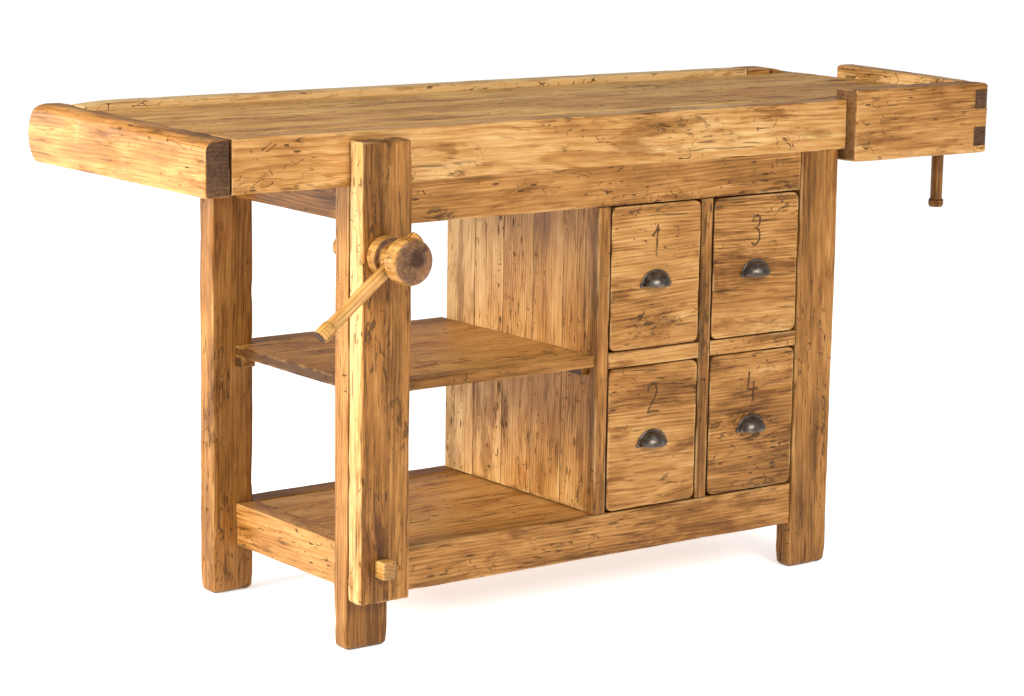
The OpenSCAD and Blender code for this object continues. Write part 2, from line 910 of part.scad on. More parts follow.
leg_front_left();
leg_front_right();
leg_back_left();
leg_back_right();
front_apron();
back_apron();
side_rail_left();
side_rail_right();
front_stretcher();
back_stretcher();
side_stretcher_left();
side_stretcher_right();
lower_shelf_planks();
middle_shelf();
shelf_cleats();
front_beam();
top_planks();
top_battens();
end_board_left();
back_rail();
back_rail_block();
leg_vise_chop();
leg_vise_guide();
leg_vise_garter();
leg_vise_screw();
leg_vise_handle();
leg_vise_handle_knob();
tail_vise_jaw();
tail_vise_end_board();
tail_vise_garter();
tail_vise_slide_bar();
tail_vise_screw();
tail_vise_handle();
tail_vise_handle_knob();
tail_vise_nut();
tail_vise_keepers();
cabinet_side_left();
cabinet_side_right();
cabinet_back();
cabinet_post();
cabinet_stile();
cabinet_partition();
cabinet_rails();
drawer_runners();
drawer_1_front();
drawer_1_box();
drawer_1_bottom();
drawer_1_pull();
drawer_2_front();
drawer_2_box();
drawer_2_bottom();
drawer_2_pull();
drawer_3_front();
drawer_3_box();
drawer_3_bottom();
drawer_3_pull();
drawer_4_front();
drawer_4_box();
drawer_4_bottom();
drawer_4_pull();
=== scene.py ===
import json
import math

import bmesh
import bpy
import numpy as np
from mathutils import Matrix, Vector


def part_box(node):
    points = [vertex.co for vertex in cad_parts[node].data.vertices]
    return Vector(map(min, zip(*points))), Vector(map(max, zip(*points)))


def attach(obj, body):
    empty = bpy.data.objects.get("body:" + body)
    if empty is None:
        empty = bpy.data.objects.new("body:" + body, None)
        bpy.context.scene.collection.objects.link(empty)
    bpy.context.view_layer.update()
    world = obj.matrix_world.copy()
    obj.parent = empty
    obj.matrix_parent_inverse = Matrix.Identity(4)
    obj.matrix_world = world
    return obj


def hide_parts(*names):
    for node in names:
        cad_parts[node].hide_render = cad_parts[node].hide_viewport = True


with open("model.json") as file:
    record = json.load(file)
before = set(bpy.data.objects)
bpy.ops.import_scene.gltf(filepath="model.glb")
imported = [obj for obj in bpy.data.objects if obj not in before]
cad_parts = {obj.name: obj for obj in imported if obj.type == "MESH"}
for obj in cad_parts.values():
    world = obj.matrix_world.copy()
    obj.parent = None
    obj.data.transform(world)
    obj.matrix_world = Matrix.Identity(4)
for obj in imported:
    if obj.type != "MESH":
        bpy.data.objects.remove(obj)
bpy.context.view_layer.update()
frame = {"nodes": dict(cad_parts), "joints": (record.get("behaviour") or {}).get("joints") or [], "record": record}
nodes = frame["nodes"]
body_of_node = {n: b for b, members in frame["record"]["behaviour"]["bodies"].items() for n in members}
slot_of_node = {s["node"]: s["material_slot"] for s in frame["record"]["subparts"]}
AXES = {"x": 0, "y": 1, "z": 2}
MM = 0.001
# Gap round a piece that passes through another
ROOM = 0.0004
# How far the front legs and the apron reach up into the beam, whose lower edge is uneven
TUCK = 0.006
# Radius of the bores that the vise screws pass through
SCREW_BORE_R = 0.0183
# Grid cells along and across the grain of the boards seen from near by, in millimetres
FINE = (7, 5)
SHOWN = (6, 4.5)



def linked(name, data):
    obj = bpy.data.objects.new(name, data)
    bpy.context.scene.collection.objects.link(obj)
    return obj


# ---------- camera, light and floor ----------


def make_camera():
    data = bpy.data.cameras.new("camera")
    data.lens = 101.3
    data.sensor_width = 36.0
    data.clip_end = 200.0
    camera = linked("camera", data)
    yaw, pitch, roll = (math.radians(a) for a in (36.85, -10.51, 0.88))
    forward = Vector((math.sin(yaw) * math.cos(pitch), math.cos(yaw) * math.cos(pitch), math.sin(pitch)))
    right = Vector((math.cos(yaw), -math.sin(yaw), 0.0))
    up = right.cross(forward)
    cam_x = right * math.cos(roll) + up * math.sin(roll)
    cam_y = up * math.cos(roll) - right * math.sin(roll)
    turn = Matrix((cam_x, cam_y, -forward)).transposed().to_4x4()
    camera.matrix_world = Matrix.Translation((-3.2227, -4.1362, 1.3917)) @ turn
    bpy.context.scene.camera = camera


def area_light(name, place, target, size, energy, color, gloss=True):
    data = bpy.data.lights.new(name, "AREA")
    data.shape = "RECTANGLE"
    data.size, data.size_y = size
    data.energy = energy
    data.color = color
    light = linked(name, data)
    light.location = place
    light.rotation_euler = (Vector(target) - Vector(place)).to_track_quat("-Z", "Y").to_euler()
    light.visible_glossy = gloss


def make_studio():
    world = bpy.data.worlds.new("world")
    bpy.context.scene.world = world
    world.use_nodes = True
    background = world.node_tree.nodes["Background"]
    background.inputs["Color"].default_value = (1.0, 1.0, 1.0, 1.0)
    background.inputs["Strength"].default_value = 0.42
    area_light("key", (-3.9, 0.0, 1.6), (0, 0.05, 0.5), (1.0, 1.0), 205, (1.0, 0.97, 0.90), gloss=False)
    area_light("front", (-0.7, -4.9, 3.2), (0.1, 0, 0.5), (2.4, 1.7), 222, (1.0, 0.98, 0.95))
    area_light("back", (-2.6, 3.4, 1.0), (0, 0.1, 0.4), (1.2, 1.2), 50, (1.0, 0.97, 0.92))
    bpy.ops.mesh.primitive_plane_add(size=120, location=(0, 0, -0.0005))
    floor = bpy.context.object
    floor.name = "floor"
    material = bpy.data.materials.new("floor")
    material.use_nodes = True
    shader = material.node_tree.nodes["Principled BSDF"]
    shader.inputs["Base Color"].default_value = (0.93, 0.93, 0.93, 1.0)
    shader.inputs["Roughness"].default_value = 0.9
    shader.inputs["Specular IOR Level"].default_value = 0.1
    shader.inputs["Emission Color"].default_value = (1.0, 1.0, 1.0, 1.0)
    shader.inputs["Emission Strength"].default_value = 0.62
    floor.data.materials.append(material)


make_camera()
make_studio()
bpy.context.scene.view_settings.view_transform = "Standard"


# ---------- noise for the shapes ----------


def lattice(ix, iy, iz, seed):
    h = (ix * 374761393 + iy * 668265263 + iz * 1442695041 + int(seed) * 1274126177) & 0xFFFFFFFF
    h = ((h ^ (h >> 13)) * 1274126177) & 0xFFFFFFFF
    return ((h ^ (h >> 16)) & 0xFFFF) / 32767.5 - 1.0


def noise(p, seed=0):
    """Smooth noise between -1 and 1 at points whose cells are one unit wide."""
    cell = np.floor(p).astype(np.int64)
    f = p - cell
    f = f * f * (3 - 2 * f)
    total = np.zeros(len(p))
    for dx in (0, 1):
        for dy in (0, 1):
            for dz in (0, 1):
                weight = np.abs(1 - dx - f[:, 0]) * np.abs(1 - dy - f[:, 1]) * np.abs(1 - dz - f[:, 2])
                total += weight * lattice(cell[:, 0] + dx, cell[:, 1] + dy, cell[:, 2] + dz, seed)
    return total


def random_numbers(seed, count):
    return np.random.default_rng(seed).random(count)


# ---------- mesh building ----------


def lines(lo, hi, r, cell, extra=()):
    """Grid lines from lo to hi: close together over the round edge, then one cell apart."""
    count = max(1, int(round((hi - lo - 2 * r) / cell)))
    edge = np.array([0.0, 0.1, 0.3, 0.6]) * r
    places = np.concatenate([lo + edge, np.linspace(lo + r, hi - r, count + 1), (hi - edge)[::-1]])
    return np.unique(np.round(np.concatenate([places, np.array(list(extra), float)]), 7))


def block_sides():
    """For each side of a block of grid points: its axis, its end and the index that picks it."""
    for axis in range(3):
        for end in (0, -1):
            pick = [slice(None)] * 3
            pick[axis] = end
            yield axis, end, tuple(pick)


def lattice_shell(xs, ys, zs):
    """The surface of a block cut by grid lines: points and quads."""
    shape = (len(xs), len(ys), len(zs))
    on = np.zeros(shape, bool)
    for _, _, pick in block_sides():
        on[pick] = True
    index = np.full(shape, -1)
    index[on] = np.arange(on.sum())
    i, j, k = np.nonzero(on)
    points = np.stack([xs[i], ys[j], zs[k]], axis=1)
    quads = []
    for axis, end, pick in block_sides():
        side = index[pick]
        a, b, c, d = side[:-1, :-1], side[1:, :-1], side[1:, 1:], side[:-1, 1:]
        loop = np.stack([a.ravel(), b.ravel(), c.ravel(), d.ravel()], axis=1)
        if (end == -1) == (axis == 1):
            loop = loop[:, ::-1]
        quads.append(loop)
    return points, np.concatenate(quads)


def round_corner(points, axes, corner, ways, r):
    """Rounds one long edge: axes are the two directions across it, ways point out of the corner."""
    p = points.copy()
    centre = np.array(corner) - np.array(ways) * r
    away = p[:, axes] - centre
    reach = np.linalg.norm(away, axis=1)
    outside = (away * np.array(ways) > 0).all(axis=1) & (reach > r)
    p[:, axes] = centre + away * np.where(outside, r / np.maximum(reach, 1e-9), 1.0)[:, None]
    return p


def raise_top(p, lo, hi, top):
    """Scales the heights from lo up, so that the upper face comes to top."""
    p[:, 2] = lo[2] + (p[:, 2] - lo[2]) * (top - lo[2]) / (hi[2] - lo[2])


class Board:
    """A worn wooden board: round uneven edges, a slightly wavy surface and dents, never outside lo to hi.
    r is the edges' radius, feet their radius at the floor and wave the depth of the dents, in millimetres.
    cell is the grid along and across the grain. A higher tone is paler, and the per-face tones paint light and
    shade: single faces are made paler or darker.
    seams are glue lines, as (axis, place), and fine adds grid lines, as (axis, start, stop, step)."""

    def __init__(
        self, lo, hi, grain, seed, r=3.0, wave=0.8, cell=(14, 9), tone=0.0,
        face_tones=None, seams=(), fine=(), feet=0.0, uneven=1.0,
    ):
        self.lo, self.hi = np.array(lo, float), np.array(hi, float)
        self.grain, self.seed, self.tone = AXES[grain], seed, tone
        self.face_tones = face_tones or {}
        self.seams = seams
        r_limit = 0.45 * (self.hi - self.lo).min()
        r = min(r * MM, r_limit)
        r_max = min(max(r * 1.5, feet * MM), r_limit)
        steps = [cell[1] * MM] * 3
        steps[self.grain] = cell[0] * MM
        extra = {0: [], 1: [], 2: []}
        for axis, place in seams:
            extra[AXES[axis]] += [place - 0.0006, place - 0.0002, place + 0.0002, place + 0.0006]
        for axis, start, stop, step in fine:
            extra[AXES[axis]] += list(np.arange(start, stop, step))
        grid = [lines(self.lo[a], self.hi[a], r_max, steps[a], extra[a]) for a in range(3)]
        self.points, self.quads = lattice_shell(*grid)
        self.round_edges(r, r_max, feet, uneven)
        self.roughen(wave)

    def round_edges(self, r, r_max, feet, uneven):
        p = self.points
        stretch = np.full(3, 28.0)
        stretch[self.grain] = 9.0
        rough = 0.55 * noise(p * stretch, self.seed) + 0.25 * noise(p * stretch * 3.7, self.seed + 1)
        local = r * (0.85 + uneven * rough)
        if feet:
            low = np.clip(1 - (p[:, 2] - self.lo[2]) / 0.03, 0, 1)
            local = local + (feet * MM - local) * low
        local = np.clip(local, 0.15 * r, r_max)[:, None]
        inner = np.clip(p, self.lo + local, self.hi - local)
        away = p - inner
        length = np.linalg.norm(away, axis=1, keepdims=True)
        self.normals = away / np.maximum(length, 1e-9)
        self.points = inner + self.normals * local

    def roughen(self, wave):
        """Moves the surface inwards by a fraction of a millimetre to a few millimetres."""
        p = self.points
        long_wave, short_wave, dent = np.full(3, 9.0), np.full(3, 34.0), np.full(3, 45.0)
        long_wave[self.grain], short_wave[self.grain], dent[self.grain] = 3.5, 11.0, 20.0
        depth = 0.55 + 0.45 * noise(p * long_wave, self.seed + 2)
        depth = depth + 0.3 * noise(p * short_wave, self.seed + 3)
        dents = np.clip(noise(p * dent, self.seed + 4) - 0.45, 0, 1) * 4.0
        move = np.clip(depth + dents * 0.8, 0, 4) * wave * MM
        self.points = p - self.normals * move[:, None]

    def seam_side(self, points):
        side = np.zeros(len(points))
        for axis, place in self.seams:
            side += points[:, AXES[axis]] > place
        return side

    def attributes(self, points, normals):
        """Grain coordinates, and edge, end grain and mark with the board's own number."""
        pick = random_numbers(self.seed + 11, 6)
        side = self.seam_side(points)
        centre = (self.lo + self.hi) / 2
        others = [a for a in range(3) if a != self.grain]
        local = points - centre
        u = local[:, self.grain]
        v = local[:, others[0]] + (pick[0] - 0.5) * 0.10 + side * 0.043 + u * (pick[2] - 0.5) * 0.05
        w = local[:, others[1]] + (0.03 + pick[1] * 0.09) + u * (pick[3] - 0.5) * 0.05
        grain = np.stack([u, v, w], axis=1)
        gap = np.sort(np.minimum(points - self.lo, self.hi - points), axis=1)
        edge = np.clip(1 - gap[:, 1] / 0.009, 0, 1)
        end = np.clip((np.abs(normals[:, self.grain]) - 0.55) / 0.35, 0, 1)
        look = np.stack([edge, end, np.zeros(len(points)), (pick[4] + side * 0.37) % 1.0], axis=1)
        tone = self.tone + (side % 2) * 0.12
        # Painted light and shade: faces turned a given way get their own tone, paler or darker.
        for face, value in self.face_tones.items():
            way = -1 if face[0] == "-" else 1
            facing = np.clip((normals[:, AXES[face[1]]] * way - 0.4) / 0.3, 0, 1)
            tone = tone + (value - tone) * facing
        return grain, look, tone


def mesh_from(name, points, faces):
    mesh = bpy.data.meshes.new(name)
    mesh.from_pydata([tuple(p) for p in points], [], [tuple(int(i) for i in f) for f in faces])
    mesh.update()
    return mesh


def write_attributes(mesh, grain, look, tone):
    for name, kind, key, values in (
        ("grain", "FLOAT_VECTOR", "vector", grain),
        ("look", "FLOAT_COLOR", "color", look),
        ("tone", "FLOAT", "value", tone),
    ):
        data = mesh.attributes.new(name, kind, "POINT").data
        data.foreach_set(key, values.astype(np.float32).ravel())


class Joined:
    """Several boards that make one mesh."""

    def __init__(self):
        self.count = 0
        self.faces = []
        self.rows = []

    def add(self, points, faces, grain, look, tone):
        self.faces += [[int(i) + self.count for i in f] for f in faces]
        self.count += len(points)
        self.rows.append((points, grain, look, tone))

    def add_board(self, board, end_grain=1.0):
        grain, look, tone = board.attributes(board.points, board.normals)
        look[:, 1] *= end_grain
        self.add(board.points, board.quads, grain, look, tone)

    def mesh(self, name):
        points, grain, look, tone = (np.concatenate(column) for column in zip(*self.rows))
        mesh = mesh_from(name, points, self.faces)
        write_attributes(mesh, grain, look, tone)
        return mesh


def mesh_points(mesh):
    co = np.zeros(len(mesh.vertices) * 3, np.float32)
    mesh.vertices.foreach_get("co", co)
    normal = np.zeros(len(mesh.vertices) * 3, np.float32)
    mesh.vertices.foreach_get("normal", normal)
    return co.reshape(-1, 3).astype(float), normal.reshape(-1, 3).astype(float)


def finish_piece(obj, node_names, slot_name, smooth_angle=38.0):
    """Shades and places a piece, which stands for its CAD nodes."""
    for polygon in obj.data.polygons:
        polygon.use_smooth = True
    obj.data.set_sharp_from_angle(angle=math.radians(smooth_angle))
    obj.data.materials.clear()
    obj.data.materials.append(materials[slot_name])
    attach(obj, body_of_node[node_names[0]])
    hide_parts(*node_names)
    slot_name if slot_name in record_slots else slot_of_node[node_names[0]]
    return obj


def with_modifiers(obj):
    """A new mesh with the object's modifiers applied."""
    bpy.context.view_layer.update()
    return bpy.data.meshes.new_from_object(obj.evaluated_get(bpy.context.evaluated_depsgraph_get()))


def carve(obj, cutters):
    """Cuts the closed meshes in cutters out of obj."""
    for cutter in cutters:
        modifier = obj.modifiers.new("cut", "BOOLEAN")
        modifier.operation = "DIFFERENCE"
        modifier.solver = "EXACT"
        modifier.object = cutter
    mesh = with_modifiers(obj)
    obj.modifiers.clear()
    obj.data = mesh
    for cutter in cutters:
        bpy.data.objects.remove(cutter)


def block_cutter(lo, hi):
    points, quads = lattice_shell(*[np.array([lo[a], hi[a]]) for a in range(3)])
    return linked("cutter", mesh_from("cutter", points, quads))


def rod_cutter(start, end, r):
    start, end = Vector(start), Vector(end)
    bm = bmesh.new()
    turn = (end - start).to_track_quat("Z", "Y").to_matrix().to_4x4()
    place = Matrix.Translation((start + end) / 2) @ turn
    bmesh.ops.create_cone(
        bm, cap_ends=True, segments=64, radius1=r, radius2=r, depth=(end - start).length, matrix=place
    )
    mesh = bpy.data.meshes.new("cutter")
    bm.to_mesh(mesh)
    bm.free()
    return linked("cutter", mesh)


def solids(node):
    """Lowest and highest corners of each separate solid of a CAD node, in order along X, then Y, then Z."""
    bm = bmesh.new()
    bm.from_mesh(nodes[node].data)
    bmesh.ops.remove_doubles(bm, verts=bm.verts, dist=1e-6)
    left = set(bm.verts)
    found = []
    while left:
        group, edge = set(), [left.pop()]
        while edge:
            v = edge.pop()
            group.add(v)
            for e in v.link_edges:
                o = e.other_vert(v)
                if o in left:
                    left.remove(o)
                    edge.append(o)
        co = np.array([v.co[:] for v in group])
        found.append((co.min(0), co.max(0)))
    bm.free()
    return sorted(found, key=lambda f: tuple(np.round(f[0], 4)))


def boards_piece(node, grain, seed, slot_name=None, tone=0.0, tone_step=0.0, **options):
    """One worn board for each solid of a CAD node."""
    joined = Joined()
    for i, (lo, hi) in enumerate(solids(node)):
        board_tone = tone + i * tone_step + (random_numbers(seed + i, 1)[0] - 0.5) * 0.3
        joined.add_board(Board(lo, hi, grain, seed + 17 * i, tone=board_tone, **options))
    return finish_piece(linked(node + "_wood", joined.mesh(node)), [node], slot_name or slot_of_node[node])


def shaped_piece(node, board, slot_name=None, bend=None, cutters=(), mark=None, end_grain=1.0):
    """One worn board that is bent or carved before its grain is laid."""
    points = bend(board.points) if bend else board.points
    obj = linked(node + "_wood", mesh_from(node, points, board.quads))
    if cutters:
        carve(obj, cutters)
    co, normal = mesh_points(obj.data)
    grain, look, tone = board.attributes(co, normal)
    look[:, 1] *= end_grain
    if mark is not None:
        look[:, 2] = mark(co)
    write_attributes(obj.data, grain, look, tone)
    return finish_piece(obj, [node], slot_name or slot_of_node[node])


def lathe(profile, segments=72):
    """Points and faces of a turned solid along Z: profile holds (z, r) in millimetres, end to end."""
    profile = np.array(profile, float) * MM
    angle = np.linspace(0, 2 * math.pi, segments, endpoint=False)
    x, y = np.cos(angle), np.sin(angle)
    rings = [np.stack([r * x, r * y, np.full(segments, z)], axis=1) for z, r in profile]
    points = np.concatenate(rings + [[[0, 0, profile[0, 0]]], [[0, 0, profile[-1, 0]]]])
    faces = []
    last = (len(profile) - 1) * segments
    low, high = len(points) - 2, len(points) - 1
    for s in range(segments):
        n = (s + 1) % segments
        for k in range(0, last, segments):
            faces.append([k + s, k + n, k + segments + n, k + segments + s])
        faces.append([low, n, s])
        faces.append([high, last + s, last + n])
    return points, faces


def turned_piece(node, profile, place, seed, cutters=(), tone=0.0):
    """A piece turned along its own Z and moved to its place, with small knocks and a dark heart."""
    knock = 0.25
    points, faces = lathe(profile)
    lumps = noise(points * np.array([60.0, 60.0, 25.0]), seed) * knock * MM
    radial = points * np.array([1.0, 1.0, 0.0])
    radius = np.linalg.norm(radial, axis=1, keepdims=True)
    points = points - radial / np.maximum(radius, 1e-6) * np.abs(lumps)[:, None] * (radius > 1e-4)
    mesh = mesh_from(node, points, faces)
    obj = linked(node + "_turned", mesh)
    obj.data.transform(place)
    if cutters:
        carve(obj, cutters)
    co, normal = mesh_points(obj.data)
    turn = np.array(place.to_3x3())
    local = (co - np.array(place.translation)) @ turn
    local_normal = normal @ turn
    pick = random_numbers(seed + 5, 3)
    across = (local[:, 0] + 0.008 + 0.01 * pick[0], local[:, 1] + 0.01 * pick[1])
    grain = np.stack([local[:, 2], *across], axis=1)
    end = np.clip((np.abs(local_normal[:, 2]) - 0.5) / 0.35, 0, 1)
    from_heart = np.linalg.norm(local[:, :2] - np.array([0.003, 0.004]), axis=1)
    heart = np.clip(1.8 - from_heart / 0.0145 + 0.9 * noise(local * 90, seed), 0, 1)
    look = np.stack([np.zeros(len(co)), end, 0.95 * end * heart, np.full(len(co), pick[2])], axis=1)
    write_attributes(obj.data, grain, look, np.full(len(co), tone))
    return finish_piece(obj, [node], "turned_pine", smooth_angle=50.0)


# ---------- materials ----------


class Tree:
    """Small helpers for writing a node tree."""

    def __init__(self, name):
        self.material = bpy.data.materials.new(name)
        self.material.use_nodes = True
        self.tree = self.material.node_tree
        self.shader = self.tree.nodes["Principled BSDF"]

    def put(self, socket, value):
        if isinstance(value, bpy.types.NodeSocket):
            self.tree.links.new(value, socket)
        else:
            socket.default_value = value

    def node(self, kind, inputs=(), **settings):
        node = self.tree.nodes.new(kind)
        for key, value in settings.items():
            setattr(node, key, value)
        for key, value in dict(inputs).items():
            self.put(node.inputs[key], value)
        return node

    def math(self, operation, a, b=0.0, c=0.0):
        return self.node("ShaderNodeMath", {0: a, 1: b, 2: c}, operation=operation).outputs[0]

    def times(self, *values):
        product = values[0]
        for value in values[1:]:
            product = self.math("MULTIPLY", product, value)
        return product

    def most(self, *values):
        greatest = values[0]
        for value in values[1:]:
            greatest = self.math("MAXIMUM", greatest, value)
        return greatest

    def add_scaled(self, total, value, amount, middle=0.0):
        """total + (value - middle) * amount"""
        if middle:
            value = self.math("SUBTRACT", value, middle)
        return self.math("MULTIPLY_ADD", value, amount, total)

    def vector(self, operation, a, b=(0, 0, 0)):
        return self.node("ShaderNodeVectorMath", {0: a, 1: b}, operation=operation).outputs[0]

    def noise(self, vector, scale=1.0, detail=2.0, roughness=0.5, distortion=0.0, color=False):
        inputs = {"Vector": vector, "Scale": scale, "Detail": detail, "Roughness": roughness}
        inputs["Distortion"] = distortion
        return self.node("ShaderNodeTexNoise", inputs).outputs["Color" if color else "Fac"]

    def voronoi(self, vector):
        return self.node("ShaderNodeTexVoronoi", {"Vector": vector, "Scale": 1.0}).outputs

    def step(self, value, low, high, out_low=0.0, out_high=1.0):
        inputs = {"Value": value, "From Min": low, "From Max": high, "To Min": out_low, "To Max": out_high}
        return self.node("ShaderNodeMapRange", inputs, interpolation_type="SMOOTHSTEP").outputs[0]

    def mix(self, factor, a, b, mode="MIX"):
        node = self.tree.nodes.new("ShaderNodeMix")
        node.data_type = "RGBA"
        node.blend_type = mode
        self.put(node.inputs[0], factor)
        self.put(node.inputs[6], a)
        self.put(node.inputs[7], b)
        return node.outputs[2]

    def ramp(self, factor, stops):
        node = self.node("ShaderNodeValToRGB", {"Fac": factor})
        elements = node.color_ramp.elements
        while len(elements) < len(stops):
            elements.new(0.5)
        for element, (place, color) in zip(elements, stops):
            element.position = place
            element.color = (*color, 1.0)
        return node.outputs["Color"]

    def darken(self, factor, color, tint):
        """The colour, multiplied by tint where factor is 1."""
        return self.mix(factor, color, self.mix(1.0, color, (*tint, 1.0), "MULTIPLY"))

    def combine(self, x, y, z):
        return self.node("ShaderNodeCombineXYZ", {0: x, 1: y, 2: z}).outputs[0]

    def bump(self, height, strength, distance):
        inputs = {"Height": height, "Strength": strength, "Distance": distance}
        self.put(self.shader.inputs["Normal"], self.node("ShaderNodeBump", inputs).outputs[0])


class Wood(Tree):
    """Old pine. A worn piece's attributes give its grain, edges, end grain, mark, number and tone.
    A CAD node has none of them, so its grain follows one axis."""

    def __init__(self, name, from_attributes=True, grain_axis=0):
        super().__init__(name)
        if from_attributes:
            self.read_attributes()
        else:
            self.read_place(grain_axis)
        offset = self.combine(self.number, self.number, self.number)
        offset = self.vector("MULTIPLY", offset, (37.0, 59.0, 71.0))
        self.shifted = self.vector("ADD", self.grain, offset)
        self.bend_grain(offset)

    def read_attributes(self):
        self.grain = self.node("ShaderNodeAttribute", attribute_name="grain").outputs["Vector"]
        look = self.node("ShaderNodeAttribute", attribute_name="look").outputs
        split = self.node("ShaderNodeSeparateColor", {0: look["Color"]}).outputs
        self.edge, self.end, self.mark = split[0], split[1], split[2]
        self.number = look["Alpha"]
        self.tone = self.node("ShaderNodeAttribute", attribute_name="tone").outputs["Fac"]

    def read_place(self, grain_axis):
        coordinates = self.node("ShaderNodeTexCoord").outputs
        split = self.node("ShaderNodeSeparateXYZ", {0: coordinates["Object"]}).outputs
        order = [grain_axis] + [a for a in range(3) if a != grain_axis]
        self.grain = self.combine(*[split[a] for a in order])
        normal = self.node("ShaderNodeSeparateXYZ", {0: coordinates["Normal"]}).outputs
        self.end = self.step(self.math("ABSOLUTE", normal[grain_axis]), 0.5, 0.9)
        self.edge = self.mark = self.tone = None
        self.number = 0.0

    def field(self, along, across, detail=2, roughness=0.5, distortion=0.0, flow=False):
        """Noise, with so many features a metre along and across the grain. It can flow round the knots."""
        place = self.vector("MULTIPLY", self.flow if flow else self.shifted, (along, across, across))
        return self.noise(place, detail=detail, roughness=roughness, distortion=distortion)

    def patches(self, along, across, limits, *shape, least=0.0, most=1.0, flow=False):
        """From least to most, where a noise field rises between two limits."""
        return self.step(self.field(along, across, *shape, flow=flow), *limits, least, most)

    def cells(self, along, across, limit):
        """The distance from a cell's middle, whether it is one of the few picked, and its size."""
        found = self.voronoi(self.vector("MULTIPLY", self.shifted, (along, across, across)))
        pick = self.node("ShaderNodeSeparateColor", {0: found["Color"]}).outputs
        return found["Distance"], self.math("GREATER_THAN", pick[0], limit), pick[1]

    def bend_grain(self, offset):
        """The grain wanders a little, and knots push it aside."""
        self.knot_gap, self.knot_pick, _ = self.cells(2.3, 8, 0.84)
        push = self.times(self.step(self.knot_gap, 0.40, 0.05), self.knot_pick, 0.007)
        wobble = self.vector("MULTIPLY", self.shifted, (2.6, 13.0, 13.0))
        wobble = self.vector("SUBTRACT", self.noise(wobble, detail=2, color=True), (0.5, 0.5, 0.5))
        wobble = self.vector("MULTIPLY", wobble, (0.0, 0.020, 0.020))
        waved = self.vector("ADD", self.grain, wobble)
        self.waved = self.vector("ADD", waved, self.combine(0.0, push, push))
        self.flow = self.vector("ADD", self.waved, offset)

    def late_wood(self):
        """The dark line of each growth ring round the pith."""
        cross = self.node("ShaderNodeSeparateXYZ", {0: self.waved}).outputs
        square = self.math("ADD", self.math("POWER", cross[1], 2.0), self.math("POWER", cross[2], 2.0))
        ring = self.math("FRACT", self.times(self.math("SQRT", square), 150.0))
        return self.times(self.step(ring, 0.3, 0.9), self.step(ring, 1.0, 0.92))

    def grain_level(self):
        """How pale the wood is: blotches, patches, streaks, fibres, growth rings and veins."""
        self.late = self.late_wood()
        self.blotch = self.field(2, 8, 3, 0.6)
        self.streak = self.field(1.5, 34, 4, 0.6, flow=True)
        self.thin = self.field(3.5, 150, 3, 0.6, flow=True)
        self.fibre = self.field(18, 420, 1)
        patch = self.field(6.5, 22, 4, 0.62, 0.5, flow=True)
        level = self.add_scaled(0.5, self.blotch, 0.75, middle=0.5)
        for field, amount in ((patch, 0.72), (self.streak, 0.56), (self.thin, 0.38), (self.fibre, 0.44)):
            level = self.add_scaled(level, field, amount, middle=0.5)
        ring_show = self.step(self.blotch, 0.42, 0.62, 0.17, 0.05)
        level = self.math("SUBTRACT", level, self.times(self.math("SUBTRACT", self.late, 0.3), ring_show))
        vein = self.math("SUBTRACT", self.field(2.4, 88, 2, flow=True), 0.5)
        vein_place = self.patches(2.2, 15, (0.46, 0.58), least=0.15)
        vein = self.times(self.step(self.math("ABSOLUTE", vein), 0.024, 0.005), vein_place)
        level = self.add_scaled(level, vein, -0.28)
        return level if self.tone is None else self.add_scaled(level, self.tone, 0.4)

    def stained(self, color):
        """Reddish patches and soft brown stains."""
        reddish = self.patches(1.7, 7, (0.54, 0.75), most=0.5, flow=True)
        color = self.darken(reddish, color, (0.97, 0.82, 0.62))
        stain = self.patches(4.2, 17, (0.54, 0.64), 5, 0.68, 0.3, most=0.85)
        return self.darken(stain, color, (0.52, 0.42, 0.25))

    def damage(self):
        """Crooked scratches, cracks along the grain, nicks, swarms of worm holes and ragged bark patches."""
        battered = self.field(3.3, 9, 2, 0.6)
        bend = self.math("ABSOLUTE", self.math("SUBTRACT", self.field(42, 62, 0), 0.5))
        broken = self.patches(58, 70, (0.55, 0.60), 1)
        scratch = self.times(self.step(bend, 0.022, 0.008), broken, self.step(battered, 0.47, 0.56))
        crack = self.patches(8, 170, (0.64, 0.70), 2, 0.55, flow=True)
        crack = self.times(crack, self.patches(5, 15, (0.46, 0.57)), 0.75)
        gap, pick, size = self.cells(36, 160, 0.86)
        nick = self.step(self.math("SUBTRACT", gap, self.times(size, 0.2)), 0.2, 0.1)
        nick = self.times(nick, pick, self.step(battered, 0.44, 0.54, 0.12, 1.0))
        gap, pick, _ = self.cells(105, 105, 0.90)
        swarm = self.patches(6, 12, (0.50, 0.60))
        worm = self.times(self.step(gap, 0.19, 0.12), pick, swarm)
        bark = self.patches(24, 75, (0.53, 0.62), 4, 0.75, 0.6)
        bark = self.times(bark, self.patches(3.4, 11, (0.61, 0.66), 1, flow=True), 0.9)
        return self.most(crack, scratch, nick, worm, bark)

    def knots(self):
        core = self.times(self.step(self.knot_gap, 0.11, 0.06), self.knot_pick, 0.85)
        return self.most(core, self.times(self.step(self.knot_gap, 0.2, 0.08), self.knot_pick, 0.45))

    def with_end_grain(self, color, end_color):
        """Dark end grain with faint rings and small checks, and the darker heart of a turned piece."""
        level = self.add_scaled(0.03, self.field(20, 110, 4, 0.7), 1.0)
        level = self.add_scaled(level, self.late, -0.10)
        level = self.add_scaled(level, self.blotch, 0.8, middle=0.5)
        shades = [(0.25, 0.42), (0.5, 1.0), (0.8, 2.1)]
        shaded = self.ramp(level, [(place, tuple(c * k for c in end_color)) for place, k in shades])
        color = self.mix(self.times(self.end, 0.93), color, shaded)
        if self.mark is None:
            return color
        return self.darken(self.times(self.mark, self.end), color, (0.30, 0.27, 0.30))

